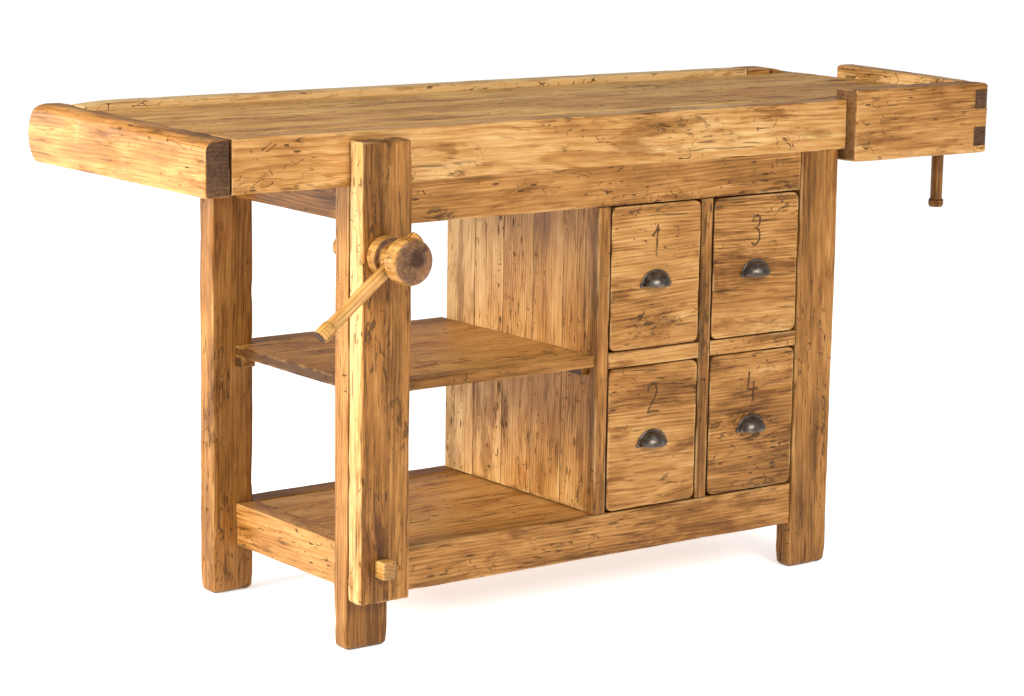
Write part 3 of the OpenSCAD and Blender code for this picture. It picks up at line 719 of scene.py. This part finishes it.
    def with_worn_edges(self, color, pale):
        """Edges rubbed pale in places and grimy in others."""
        if self.edge is None:
            return color
        rub = self.field(8, 24, 3)
        side = self.math("SUBTRACT", 1.0, self.end)
        rubbed = self.times(self.step(self.edge, 0.3, 1.0), self.step(rub, 0.44, 0.62), side, 0.45)
        grime = self.times(self.step(self.edge, 0.35, 1.0), self.step(rub, 0.5, 0.36), 0.75)
        return self.darken(grime, self.mix(rubbed, color, (*pale, 1.0)), (0.36, 0.24, 0.16))

    def set_relief(self, dents):
        height = self.add_scaled(self.times(self.fibre, 0.16), self.late, 0.12)
        for field, amount in ((self.streak, 0.55), (self.thin, 0.35), (dents, -1.3)):
            height = self.add_scaled(height, field, amount)
        self.bump(height, 0.8, 0.0013)


# Colours of end grain, and of dents, knots and the carved numbers
END_GRAIN = (0.055, 0.024, 0.010)
DIRT = (0.062, 0.028, 0.008, 1.0)


def wood(name, palette, defects=1.0, end_color=END_GRAIN, rough=0.46, **coordinates):
    """palette is dark, middle, light and pale, from the deepest streaks to the bleached patches."""
    w = Wood(name, **coordinates)
    dark, middle, light, pale = palette
    color = w.ramp(w.grain_level(), [(0.08, dark), (0.42, middle), (0.64, light), (0.98, pale)])
    color = w.stained(color)
    dents = w.times(w.damage(), defects)
    shade = w.most(w.times(dents, 0.9), w.knots())
    if w.mark is not None:
        shade = w.most(shade, w.mark)
    color = w.with_end_grain(w.mix(shade, color, DIRT), end_color)
    w.put(w.shader.inputs["Base Color"], w.with_worn_edges(color, pale))
    gloss = w.add_scaled(w.add_scaled(rough - 0.08, shade, 0.3), w.streak, 0.16)
    w.put(w.shader.inputs["Roughness"], gloss)
    w.shader.inputs["Specular IOR Level"].default_value = 0.22
    w.set_relief(dents)
    return w.material


def pewter(name):
    """Antique pewter: mottled by noise from dark to rubbed pale."""
    t = Tree(name)
    place = t.node("ShaderNodeTexCoord").outputs["Object"]
    cloud = t.noise(place, scale=90.0, detail=4, roughness=0.6)
    grit = t.noise(place, scale=700.0, detail=2, roughness=0.6)
    hollow, plain, crown = (0.048, 0.038, 0.030), (0.125, 0.103, 0.084), (0.29, 0.25, 0.21)
    t.put(t.shader.inputs["Base Color"], t.ramp(cloud, [(0.3, hollow), (0.55, plain), (0.8, crown)]))
    t.shader.inputs["Metallic"].default_value = 0.85
    t.put(t.shader.inputs["Roughness"], t.step(cloud, 0.2, 0.8, 0.27, 0.42))
    t.bump(t.add_scaled(cloud, grit, 0.35), 0.35, 0.0008)
    return t.material


OLD = [(0.100, 0.036, 0.003), (0.285, 0.120, 0.025), (0.43, 0.212, 0.060), (0.62, 0.395, 0.165)]
BROWN = [(0.070, 0.025, 0.0015), (0.215, 0.084, 0.014), (0.34, 0.152, 0.034), (0.48, 0.26, 0.078)]
TURNED = [(0.11, 0.037, 0.006), (0.30, 0.135, 0.030), (0.45, 0.24, 0.068), (0.63, 0.40, 0.155)]
HARD = [(0.03, 0.012, 0.005), (0.08, 0.034, 0.014), (0.13, 0.06, 0.026), (0.18, 0.09, 0.045)]
# The top's own copy of the old pine, redder and less blue: painted colour that offsets the pale sheen the white
# surroundings give the top at this low view.
TOP = [(1.06 * r, g, 0.72 * b) for r, g, b in OLD]
materials = {
    "top_pine": wood("top_pine", TOP),
    "old_pine": wood("old_pine", OLD),
    "brown_pine": wood("brown_pine", BROWN),
    "turned_pine": wood("turned_pine", TURNED, defects=0.5, end_color=(0.125, 0.058, 0.026), rough=0.4),
    "dark_hardwood": wood("dark_hardwood", HARD, from_attributes=False, grain_axis=2),
    "under_pine": wood("under_pine", BROWN, from_attributes=False, grain_axis=0),
    "iron": pewter("iron"),
}
record_slots = {m["slot"] for m in frame["record"]["materials"]}


# ---------- frame ----------


def span(node):
    lo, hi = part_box(node)
    return np.array(lo[:]), np.array(hi[:])


leg_fl, leg_fr = span("leg_front_left"), span("leg_front_right")
leg_bl = span("leg_back_left")
screw_lo, screw_hi = span("leg_vise_screw")
guide_lo, guide_hi = span("leg_vise_guide")
leg_axis = np.array([(screw_lo[0] + screw_hi[0]) / 2, 0.0, (screw_lo[2] + screw_hi[2]) / 2])


def leg_vise_bore():
    """The hole for the leg vise's screw, from front to back."""
    return rod_cutter((leg_axis[0], -1, leg_axis[2]), (leg_axis[0], 1, leg_axis[2]), SCREW_BORE_R)


def guide_mortise():
    """The hole for the leg vise's guide, from front to back."""
    lo = (guide_lo[0] - ROOM, -1, guide_lo[2] - ROOM)
    return block_cutter(lo, (guide_hi[0] + ROOM, 1, guide_hi[2] + ROOM))


def rail_box(node, axis):
    """A rail's box cut back to the inner faces of the legs along its length."""
    lo, hi = span(node)
    if axis == 0:
        lo[0], hi[0] = leg_fl[1][0], leg_fr[0][0]
    else:
        lo[1], hi[1] = leg_fl[1][1], leg_bl[0][1]
    return lo, hi


def rail_piece(node, axis, seed, tone, **options):
    lo, hi = rail_box(node, axis)
    if node == "front_apron":
        hi[2] += TUCK
    return shaped_piece(node, Board(lo, hi, "xyz"[axis], seed, tone=tone, **options))


def leg_piece(node, seed, tone, cutters=(), **options):
    lo, hi = span(node)
    if "front" in node:
        hi[2] += TUCK
    board = Board(lo, hi, "z", seed, r=4.0, wave=1.2, cell=FINE, tone=tone, feet=11.0, **options)
    shaped_piece(node, board, cutters=cutters)


leg_piece("leg_front_right", 101, -0.38)
# The left faces of the back left and front left legs are painted paler: painted light from the lamp on the left.
leg_piece("leg_back_left", 102, -0.42, face_tones={"-x": -0.4})
leg_piece("leg_back_right", 103, -0.4)
leg_cutters = [guide_mortise(), leg_vise_bore()]
leg_piece("leg_front_left", 104, -0.6, cutters=leg_cutters, face_tones={"-x": -0.1})
rail_piece("front_apron", 0, 111, -0.15, r=2.0, cell=FINE)
rail_piece("back_apron", 0, 112, 0.0, r=2.5)
rail_piece("front_stretcher", 0, 113, -0.05, r=4.0, wave=1.2, cell=FINE)
rail_piece("back_stretcher", 0, 114, 0.0, r=4.0)
rail_piece("side_stretcher_left", 1, 115, -0.1, r=4.0, wave=1.1, cell=FINE)
rail_piece("side_stretcher_right", 1, 116, 0.0, r=4.0)


def side_rail_piece(node, seed):
    """The rail's front end stays below the front beam."""
    lo, hi = rail_box(node, 1)
    beam_lo, beam_hi = span("front_beam")
    notch_lo = (lo[0] - 0.01, lo[1] - 0.01, beam_lo[2])
    notch = block_cutter(notch_lo, (hi[0] + 0.01, beam_hi[1] + 0.001, hi[2] + 0.01))
    shaped_piece(node, Board(lo, hi, "y", seed, r=2.5, wave=1.0, cell=FINE), cutters=[notch])


side_rail_piece("side_rail_left", 117)
side_rail_piece("side_rail_right", 118)
boards_piece("lower_shelf_planks", "x", 121, r=1.6, wave=0.9, tone=0.5)
boards_piece("shelf_cleats", "x", 122, r=1.5)


def middle_shelf_piece():
    lo, hi = span("middle_shelf")
    third = (hi[1] - lo[1]) / 3
    seams = [("y", lo[1] + third), ("y", lo[1] + 2 * third)]
    # Painted shade: the shelf's front edge and left end are darkened. On the left end this also stands for the end
    # grain's own darker colour, whose darkening is turned down below.
    tones = {"-y": -0.3, "-x": -1.2}
    board = Board(lo, hi, "x", 123, r=2.5, wave=0.8, cell=(10, 8), tone=0.65, face_tones=tones, seams=seams)
    post_lo = span("cabinet_post")[0]
    side_lo = span("cabinet_side_left")[0]
    cutters = [
        block_cutter((-2, -2, 0), (leg_fl[1][0], leg_fl[1][1], 1)),
        block_cutter((-2, leg_bl[0][1], 0), (leg_bl[1][0], 2, 1)),
        block_cutter((post_lo[0] - ROOM, -2, 0), (side_lo[0] + 0.05, side_lo[1], 1)),
    ]
    shaped_piece("middle_shelf", board, cutters=cutters, end_grain=0.35)


middle_shelf_piece()


# ---------- top ----------


def front_beam_piece():
    lo, hi = span("front_beam")
    jaw_lo, jaw_hi = span("tail_vise_jaw")
    notch_lo = (jaw_lo[0] - 0.001, lo[1] - 0.05, lo[2] - 0.1)
    notch = block_cutter(notch_lo, (hi[0] + 0.1, jaw_hi[1] + 0.001, hi[2] + 0.1))
    middle = (lo[2] + hi[2]) / 2

    def bend(p):
        p = p.copy()
        along = np.stack([p[:, 0] * 3.2, np.full(len(p), 0.5), np.full(len(p), 0.5)], axis=1)
        lift = np.clip(0.0028 + 0.0045 * noise(along, 77), 0, None)
        near = np.clip(1 - (p[:, 1] - lo[1]) / 0.02, 0, 1)
        p[:, 2] += lift * near * np.clip((middle - p[:, 2]) / (middle - lo[2]), 0, 1)
        return p

    board = Board(lo, hi, "x", 131, r=4.5, wave=1.6, cell=SHOWN, tone=0.5)
    shaped_piece("front_beam", board, bend=bend, cutters=[notch])


def end_board_left_piece():
    lo, hi = span("end_board_left")
    rise, r_end = 0.010, 0.056
    start = lo[1]
    length = hi[1] - lo[1]
    middle_z = hi[2] + 0.0015 - r_end

    def bend(p):
        p = round_corner(p, [0, 2], (lo[0], hi[2]), (-1, 1), 0.022)
        share = (p[:, 1] - start) / length
        top = hi[2] - rise * (1 - np.clip(share * 1.1, 0, 1))
        raise_top(p, lo, hi, top)
        reach = np.sqrt(np.clip(r_end**2 - (p[:, 2] - middle_z) ** 2, 0, None))
        p[:, 1] = start + share * (hi[1] - r_end + reach - start)
        return p

    board = Board(lo, hi, "y", 132, r=6.0, wave=1.5, cell=(6, 3.5), tone=-0.05)
    shaped_piece("end_board_left", board, bend=bend)


def back_rail_block_piece():
    lo, hi = span("back_rail_block")
    worktop = span("top_planks")[1][2]

    def bend(p):
        p = p.copy()
        share = np.clip((p[:, 0] - lo[0] - 0.045) / 0.06, 0, 1)
        top = worktop + (hi[2] - worktop) * (1 - share**2)
        raise_top(p, lo, hi, top)
        return p

    shaped_piece("back_rail_block", Board(lo, hi, "x", 133, r=3.0, cell=FINE, tone=0.1), bend=bend)


def back_rail_piece():
    lo, hi = span("back_rail")
    top = hi[2]

    def bend(p):
        p = p.copy()
        share = np.clip(1 - (p[:, 0] - lo[0]) / 0.09, 0, 1) ** 2
        p[:, 2] -= 0.005 * share * (p[:, 2] > top - 0.02)
        return p

    board = Board(lo, hi, "x", 134, r=3.0, wave=1.0, cell=(10, 6), tone=1.4)
    shaped_piece("back_rail", board, bend=bend, end_grain=0.2)


front_beam_piece()
end_board_left_piece()
back_rail_block_piece()
back_rail_piece()
boards_piece("top_planks", "x", 135, slot_name="top_pine", r=1.8, wave=0.9, cell=(12, 8), tone=0.55)
boards_piece("top_battens", "y", 136, r=3.0, slot_name="brown_pine")


# ---------- cabinet ----------

boards_piece("cabinet_side_left", "z", 141, r=0.8, wave=0.5, cell=(12, 7), tone=0.2, tone_step=0.16)
boards_piece("cabinet_side_right", "z", 142, r=1.5, wave=0.7, tone=0.0)
boards_piece("cabinet_back", "z", 143, r=1.5, wave=0.7)
boards_piece("cabinet_post", "z", 144, r=2.5, wave=0.8, cell=(7, 4), tone=-0.4)
boards_piece("cabinet_stile", "z", 145, r=2.5, wave=0.8, cell=(7, 4), tone=-0.45)
boards_piece("cabinet_partition", "z", 146, r=1.5)
boards_piece("cabinet_rails", "x", 147, r=2.0, wave=0.7, cell=(7, 4), tone=0.05)
boards_piece("drawer_runners", "y", 148, r=1.0)


# ---------- drawers ----------

DRAWER_TONES = {1: 0.12, 2: 0.0, 3: 0.15, 4: -0.2}
DRAWER_SEEDS = {1: 457, 2: 464, 3: 471, 4: 486}
# Strokes of the carved numbers, in millimetres from the middle of each number
NUMBERS = {
    1: [[(-9, 9), (-4, 13), (1, 20), (3, 27)], [(3, 27), (2, 0), (1, -28)]],
    2: [
        [(-11, 14), (-9, 22), (-2, 27), (6, 25), (10, 17), (8, 8), (2, -4), (-6, -16), (-11, -26)],
        [(-11, -26), (0, -24), (13, -25)],
    ],
    3: [
        [(-9, 18), (-5, 25), (2, 28), (8, 24), (9, 16), (5, 8), (-2, 4)],
        [(-2, 4), (6, 1), (9, -7), (8, -17), (2, -25), (-5, -27), (-10, -22)],
    ],
    4: [[(-7, 27), (-8, 10), (-9, -4), (0, -5), (13, -4)], [(5, 8), (4, -10), (4, -27)]],
}


def stroke_distance(points, strokes):
    best = np.full(len(points), 1.0)
    for stroke in strokes:
        for (ax, az), (bx, bz) in zip(stroke, stroke[1:]):
            a, b = np.array([ax, az]) * MM, np.array([bx, bz]) * MM
            along = np.clip(((points - a) @ (b - a)) / ((b - a) @ (b - a)), 0, 1)
            best = np.minimum(best, np.linalg.norm(points - a - along[:, None] * (b - a), axis=1))
    return best


def drawer_front_piece(n):
    node = f"drawer_{n}_front"
    lo, hi = span(node)
    centre = np.array([(lo[0] + hi[0]) / 2, hi[2] - (0.061 if n == 2 else 0.065)])
    fine = [
        ("x", centre[0] - 0.019, centre[0] + 0.019, 0.0011),
        ("z", centre[1] - 0.034, centre[1] + 0.034, 0.0013),
    ]
    board = Board(lo, hi, "x", DRAWER_SEEDS[n], r=3.0, wave=0.9, cell=FINE, tone=DRAWER_TONES[n], fine=fine)
    corner = 0.014
    p = board.points
    flat = p[:, [0, 2]]
    inner = np.clip(flat, lo[[0, 2]] + corner, hi[[0, 2]] - corner)
    away = flat - inner
    length = np.linalg.norm(away, axis=1)
    square = np.abs(away).max(axis=1)
    pull = np.where(length > 1e-9, square / np.maximum(length, 1e-9), 1.0)
    p[:, [0, 2]] = inner + away * pull[:, None]
    distance = stroke_distance(p[:, [0, 2]] - centre, NUMBERS[n])
    front = p[:, 1] < (lo[1] + hi[1]) / 2
    groove = np.clip(1 - distance / 0.0024, 0, 1) * front
    p[:, 1] += groove * 0.0018

    def mark(co):
        near = stroke_distance(co[:, [0, 2]] - centre, NUMBERS[n])
        uneven = np.clip(0.85 + 0.35 * noise(co * 140.0, n), 0, 1)
        return np.clip((0.0027 - near) / 0.0014, 0, 1) * (co[:, 1] < (lo[1] + hi[1]) / 2) * uneven

    shaped_piece(node, board, mark=mark)


def half_dome(r, sink, wall, segments=56):
    """Quarter of a hollow ball: the part above its middle and in front of the drawer."""
    bm = bmesh.new()
    bmesh.ops.create_uvsphere(bm, u_segments=segments, v_segments=segments // 2, radius=r)
    for place, way in (((0, 0, 0), (0, 0, -1)), ((0, -sink, 0), (0, 1, 0))):
        every = bm.verts[:] + bm.edges[:] + bm.faces[:]
        bmesh.ops.bisect_plane(bm, geom=every, plane_co=place, plane_no=way, clear_outer=True)
    mesh = bpy.data.meshes.new("dome")
    bm.to_mesh(mesh)
    bm.free()
    obj = linked("dome", mesh)
    shell = obj.modifiers.new("shell", "SOLIDIFY")
    shell.thickness = wall
    shell.offset = -1
    made = with_modifiers(obj)
    bpy.data.objects.remove(obj)
    return made


def arc_rim(r_in, r_out, thick, segments=48):
    """Half a flat ring with a rounded front edge, standing on the drawer's face."""
    section = [(r_in, 0.0), (r_out, 0.0), (r_out, -thick * 0.5)]
    section += [(r_out - thick * 0.35, -thick * 0.9), (r_out - thick * 0.8, -thick), (r_in, -thick)]
    points, faces = [], []
    count = len(section)
    for s in range(segments + 1):
        a = math.pi * s / segments
        points += [(radius * math.cos(a), depth, radius * math.sin(a)) for radius, depth in section]
    for s in range(segments):
        for k in range(count):
            n = (k + 1) % count
            faces.append([s * count + k, s * count + n, (s + 1) * count + n, (s + 1) * count + k])
    faces.append(list(range(count))[::-1])
    faces.append([segments * count + k for k in range(count)])
    return mesh_from("rim", points, [f[::-1] for f in faces])


def screw_head(x, r_ear, thick):
    """An ear of the pull with its domed screw."""
    parts = []
    ear = [(0, r_ear), (thick * 0.6, r_ear), (thick, r_ear - 0.7)]
    head = [(thick * 0.9, 2.7), (thick + 0.6, 2.6), (thick + 1.1, 1.9), (thick + 1.3, 0.8)]
    place = Matrix.Translation((x * MM, 0, 0)) @ Matrix.Rotation(math.radians(90), 4, "X")
    for profile in (ear, head):
        points, faces = lathe(profile, 32)
        mesh = mesh_from("screw", points, faces)
        mesh.transform(place)
        parts.append(mesh)
    return parts


def pull_piece(n):
    node = f"drawer_{n}_pull"
    lo, hi = span(node)
    front_y = span(f"drawer_{n}_front")[0][1] + 0.0004
    middle_x = (lo[0] + hi[0]) / 2
    lip_z = hi[2] - 0.033
    dome = half_dome(0.030, 0.006, 0.0024)
    dome.transform(Matrix.Translation((0, 0.006, 0)))
    rim = arc_rim(0.0285, 0.033, 0.0022)
    for mesh in (dome, rim):
        mesh.transform(Matrix.Diagonal((1.03, 1.0, 0.82, 1.0)))
    meshes = [dome, rim] + screw_head(-32, 4.4, 2.2) + screw_head(32, 4.4, 2.2)
    bm = bmesh.new()
    for mesh in meshes:
        bm.from_mesh(mesh)
        bpy.data.meshes.remove(mesh)
    bmesh.ops.translate(bm, verts=bm.verts, vec=(middle_x, front_y, lip_z))
    mesh = bpy.data.meshes.new(node)
    bm.to_mesh(mesh)
    bm.free()
    finish_piece(linked(node + "_metal", mesh), [node], "iron", smooth_angle=45.0)


def drawer_box_piece(n):
    """Two sides and a back, with the bottom between them."""
    lo, hi = span(f"drawer_{n}_box")
    side = 0.012
    joined = Joined()
    boxes = [
        ((lo[0], lo[1], lo[2]), (lo[0] + side, hi[1], hi[2]), "y"),
        ((hi[0] - side, lo[1], lo[2]), (hi[0], hi[1], hi[2]), "y"),
        ((lo[0] + side, hi[1] - side, lo[2]), (hi[0] - side, hi[1], hi[2] - 0.006), "x"),
    ]
    for i, (a, b, grain) in enumerate(boxes):
        seed = 160 + 10 * n + i
        joined.add_board(Board(a, b, grain, seed, r=1.2, wave=0.4, cell=(16, 10), tone=0.5))
    obj = linked(f"drawer_{n}_box_wood", joined.mesh("box"))
    finish_piece(obj, [f"drawer_{n}_box"], "brown_pine")
    boards_piece(f"drawer_{n}_bottom", "x", 200 + n, r=0.8, wave=0.3, tone=0.4)


for n in (1, 2, 3, 4):
    drawer_front_piece(n)
    drawer_box_piece(n)
    pull_piece(n)


# ---------- leg vise ----------


def arc_points(z, r, edge, start, stop, count=6):
    """Profile points round an edge whose centre is at (z, r)."""
    angles = np.radians(np.linspace(start, stop, count))
    return [(z + edge * math.cos(a), r + edge * math.sin(a)) for a in angles]


# Both vises have the same hub; its length, radius and neck radius in millimetres
HUB_L, HUB_R, NECK_R = 92, 39, 23
# Air round a handle bar in its hole, in millimetres
BAR_AIR = 0.1


def screw_profile(shaft_l, board_t):
    """Shaft with its garter groove, then the hub: flange, cove, neck, knob with two fine grooves."""
    return (
        [(-shaft_l, 14.5), (-shaft_l + 3, 17.6), (-board_t - 0.3, 17.8), (-board_t - 0.3, 14.0)]
        + [(-board_t + 12.3, 14.0), (-board_t + 12.3, 17.8), (0.4, 17.8), (0.4, 30.5)]
        + arc_points(3.4, 30.8, 3.0, 180, 90)
        + [(8.0, 33.9), (9.0, 33.2), (10.0, 33.9), (17.0, 34.0)]
        + arc_points(20.0, 30.0, 4.0, 90, 20)
        + [(24.2, 29.0), (24.4, 27.0), (25.4, 24.6), (29.0, 23.1), (38.0, 22.7), (48.0, 22.9)]
        + [(52.0, 23.5), (55.0, 25.4), (56.6, 28.5), (57.3, 31.5)]
        + arc_points(63.0, HUB_R - 7.0, 7.0, 150, 92)
        + [(69.0, HUB_R), (70.0, HUB_R - 0.8), (71.0, HUB_R), (76.0, HUB_R - 0.1)]
        + arc_points(HUB_L - 10.0, HUB_R - 9.4, 9.4, 85, 12, 8)
        + [(HUB_L - 0.2, HUB_R - 12.0), (HUB_L, 22.0)]
        + [(HUB_L - 0.01 * (20.0 - r), r) for r in (18.0, 15.0, 12.0, 9.0, 6.0, 3.0, 1.0)]
    )


def handle_profile(length, rod, knob, knob_l):
    """Bar with one turned end at z = 0: a rounded button with two grooves, and a gently swelling rod."""
    return (
        [(0.4, 3.0), (0.0, knob * 0.45)]
        + arc_points(4.0, knob - 4.5, 4.0, 180, 95)
        + [(7.0, knob), (8.0, knob - 1.2), (9.0, knob), (12.0, knob), (13.0, knob - 1.2), (14.0, knob)]
        + [(knob_l - 3.0, knob - 0.6), (knob_l - 1.0, rod + 0.8), (knob_l, rod), (knob_l + 1.5, rod - 0.3)]
        + [(length * 0.35, rod - 0.1), (length * 0.55, rod), (length * 0.8, rod - 0.3)]
        + [(length - 1.5, rod - 0.4), (length, rod - 1.5)]
    )


def knob_profile(rod, knob, knob_l):
    """The loose button at the bar's other end, drawn from its inner side."""
    return (
        [(0.0, rod - 1.0), (0.0, rod + 0.6), (1.0, knob - 0.6), (1.8, knob)]
        + [(knob_l - 15, knob), (knob_l - 14, knob - 1.2), (knob_l - 13, knob)]
        + [(knob_l - 10, knob), (knob_l - 9, knob - 1.2), (knob_l - 8, knob)]
        + arc_points(knob_l - 5.0, knob - 5.0, 5.0, 80, 10)
        + [(knob_l, knob * 0.35)]
    )


def vise_bar(vise, start, knob_start, turn, sizes, seed, tone):
    """A handle bar with a turned button at its start, and the loose button at its other end."""
    length, rod, knob, knob_l = sizes
    # The rod stops inside the loose button
    rod_l = length - 2
    place = Matrix.Translation(start) @ turn
    turned_piece(vise + "_handle", handle_profile(rod_l, rod, knob, knob_l), place, seed, tone=tone)
    place = Matrix.Translation(knob_start) @ turn
    turned_piece(vise + "_handle_knob", knob_profile(rod, knob, knob_l), place, seed + 1, tone=tone)


chop_lo, chop_hi = span("leg_vise_chop")
bar_lo, bar_hi = span("leg_vise_handle")
leg_bar_joint = next(j for j in frame["joints"] if j["name"] == "leg_vise_bar_slide")
slope = Vector(leg_bar_joint["axis"]).normalized()
bar_depth = (bar_lo[1] + bar_hi[1]) / 2
on_axis = Vector((leg_axis[0], bar_depth, leg_axis[2]))
# Millimetres: the bar from end to end, its radius, and the radius and length of each button
BAR_L, BAR_R, BUTTON_R, BUTTON_L = 242, 11.5, 14.0, 28
# At rest the upper button stands 1.5 mm clear of the hub's neck
reach_up = (NECK_R + 1.5 + BUTTON_L) * MM
bar_start = on_axis + slope * (reach_up - BAR_L * MM)
bar_turn = slope.to_track_quat("Z", "Y").to_matrix().to_4x4()
garter_lo, garter_hi = span("leg_vise_garter")
garter_hi = garter_hi + np.array([ROOM, 0.01, ROOM])
chop_cutters = [leg_vise_bore(), block_cutter(garter_lo - ROOM, garter_hi), guide_mortise()]
chop_seams = [("x", chop_lo[0] + 0.058)]
# The chop's left face is painted much paler than the rest: painted light from the lamp on the left.
chop_look = {"tone": -0.5, "face_tones": {"-x": 1.0}, "seams": chop_seams}
chop_board = Board(chop_lo, chop_hi, "z", 301, r=6.5, wave=1.2, cell=SHOWN, **chop_look)
shaped_piece("leg_vise_chop", chop_board, cutters=chop_cutters, end_grain=0.25)
guide_board = Board(guide_lo, guide_hi, "y", 302, r=5.5, uneven=0.3, wave=0.3, cell=(5, 3), tone=0.25)
shaped_piece("leg_vise_guide", guide_board, end_grain=0.5)
turned_piece(
    "leg_vise_screw",
    screw_profile(shaft_l=127, board_t=39.5),
    Matrix.Translation((leg_axis[0], chop_lo[1], leg_axis[2])) @ Matrix.Rotation(math.radians(90), 4, "X"),
    303,
    cutters=[rod_cutter(on_axis - slope * 0.08, on_axis + slope * 0.08, (BAR_R + BAR_AIR) * MM)],
)
bar_sizes = (BAR_L, BAR_R, BUTTON_R, BUTTON_L)
knob_start = bar_start + slope * (BAR_L - BUTTON_L) * MM
vise_bar("leg_vise", bar_start, knob_start, bar_turn, bar_sizes, 304, 0.15)


# ---------- tail vise ----------

jaw_lo, jaw_hi = span("tail_vise_jaw")
board_lo, board_hi = span("tail_vise_end_board")
tail_lo, tail_hi = span("tail_vise_screw")
tail_bar_lo, tail_bar_hi = span("tail_vise_handle")
tail_axis = np.array([0.0, (tail_lo[1] + tail_hi[1]) / 2, (tail_lo[2] + tail_hi[2]) / 2])
tail_bar_x = (tail_bar_lo[0] + tail_bar_hi[0]) / 2
pin_x = (jaw_hi[0] - 0.036, jaw_hi[0])
pin_rows = [(jaw_lo[2] + 0.015, jaw_lo[2] + 0.051), (jaw_lo[2] + 0.086, jaw_lo[2] + 0.122)]


def jaw_bend(p):
    for corner_z, way in ((jaw_hi[2], 1), (jaw_lo[2], -1)):
        p = round_corner(p, [0, 2], (jaw_hi[0], corner_z), (1, way), 0.014)
    return p


def pin_socket(low, high):
    lo = (pin_x[0] - ROOM, jaw_lo[1] - 0.01, low - ROOM)
    return block_cutter(lo, (jaw_hi[0] + 0.01, jaw_hi[1] + 0.01, high + ROOM))


jaw_board = Board(jaw_lo, jaw_hi, "x", 311, r=8.0, wave=1.1, cell=SHOWN, tone=0.05)
jaw_cutters = [pin_socket(low, high) for low, high in pin_rows]
shaped_piece("tail_vise_jaw", jaw_board, bend=jaw_bend, cutters=jaw_cutters, end_grain=0.85)


def tail_end_board_piece():
    """Behind the jaw: rises a little to the back, with two pins that reach the jaw's front."""
    lo = np.array([board_lo[0], jaw_hi[1], board_lo[2]])
    hi = board_hi.copy()
    length = hi[1] - lo[1]

    def bend(p):
        p = p.copy()
        share = np.clip((p[:, 1] - lo[1]) / length, 0, 1)
        top = jaw_hi[2] + (hi[2] - jaw_hi[2]) * share - 0.005 * np.clip((share - 0.95) / 0.05, 0, 1) ** 2
        raise_top(p, lo, hi, top)
        return p

    board = Board(lo, hi, "y", 312, r=5.0, wave=1.0, cell=(7, 5), tone=1.0)
    points = bend(board.points)
    obj = linked("tail_vise_end_board_wood", mesh_from("board", points, board.quads))
    garter_lo, garter_hi = span("tail_vise_garter")
    bar_box = span("tail_vise_slide_bar")
    bore_start = (lo[0] - 0.05, tail_axis[1], tail_axis[2])
    bore = rod_cutter(bore_start, (hi[0] + 0.05, tail_axis[1], tail_axis[2]), SCREW_BORE_R)
    garter_room = block_cutter(garter_lo - np.array([0.01, ROOM, ROOM]), garter_hi + ROOM)
    carve(obj, [bore, garter_room, block_cutter(bar_box[0] - ROOM, bar_box[1] + ROOM)])
    co, normal = mesh_points(obj.data)
    faces = [list(polygon.vertices) for polygon in obj.data.polygons]
    joined = Joined()
    joined.add(co, faces, *board.attributes(co, normal))
    for i, (low, high) in enumerate(pin_rows):
        pin_lo, pin_hi = (pin_x[0], jaw_lo[1], low), (pin_x[1], jaw_hi[1], high)
        pin = Board(pin_lo, pin_hi, "y", 313 + i, r=1.0, wave=0.3, cell=(8, 4))
        pin.points = round_corner(pin.points, [0, 1], (pin_x[1], jaw_lo[1]), (1, -1), 0.0085)
        pin.points[:, 1] += 0.0006
        joined.add_board(pin)
    obj.data = joined.mesh("tail_vise_end_board")
    finish_piece(obj, ["tail_vise_end_board"], "old_pine")


tail_end_board_piece()
# Millimetres: the bar from end to end, its radius, and the radius and length of each button
TAIL_L, TAIL_R, TAIL_KNOB_R, TAIL_KNOB_L = 205, 12.0, 15.0, 17
tail_bar_start = Vector((tail_bar_x, tail_axis[1], tail_bar_lo[2]))
tail_hole_lo = tail_bar_start + Vector((0, 0, 0.08))
tail_hole_hi = tail_bar_start + Vector((0, 0, 0.26))
turned_piece(
    "tail_vise_screw",
    screw_profile(shaft_l=300, board_t=36),
    Matrix.Translation((jaw_hi[0], tail_axis[1], tail_axis[2])) @ Matrix.Rotation(math.radians(90), 4, "Y"),
    321,
    cutters=[rod_cutter(tail_hole_lo, tail_hole_hi, (TAIL_R + BAR_AIR) * MM)],
)
tail_sizes = (TAIL_L, TAIL_R, TAIL_KNOB_R, TAIL_KNOB_L)
tail_knob_start = tail_bar_start + Vector((0, 0, (TAIL_L - TAIL_KNOB_L) * MM))
vise_bar("tail_vise", tail_bar_start, tail_knob_start, Matrix.Identity(4), tail_sizes, 322, -0.6)

# Hidden pieces under the top keep their CAD shape
for node, slot_name in (
    ("leg_vise_garter", "dark_hardwood"),
    ("tail_vise_garter", "dark_hardwood"),
    ("tail_vise_nut", "dark_hardwood"),
    ("tail_vise_keepers", "under_pine"),
    ("tail_vise_slide_bar", "under_pine"),
):
    mesh = nodes[node].data
    mesh.materials.clear()
    mesh.materials.append(materials[slot_name])
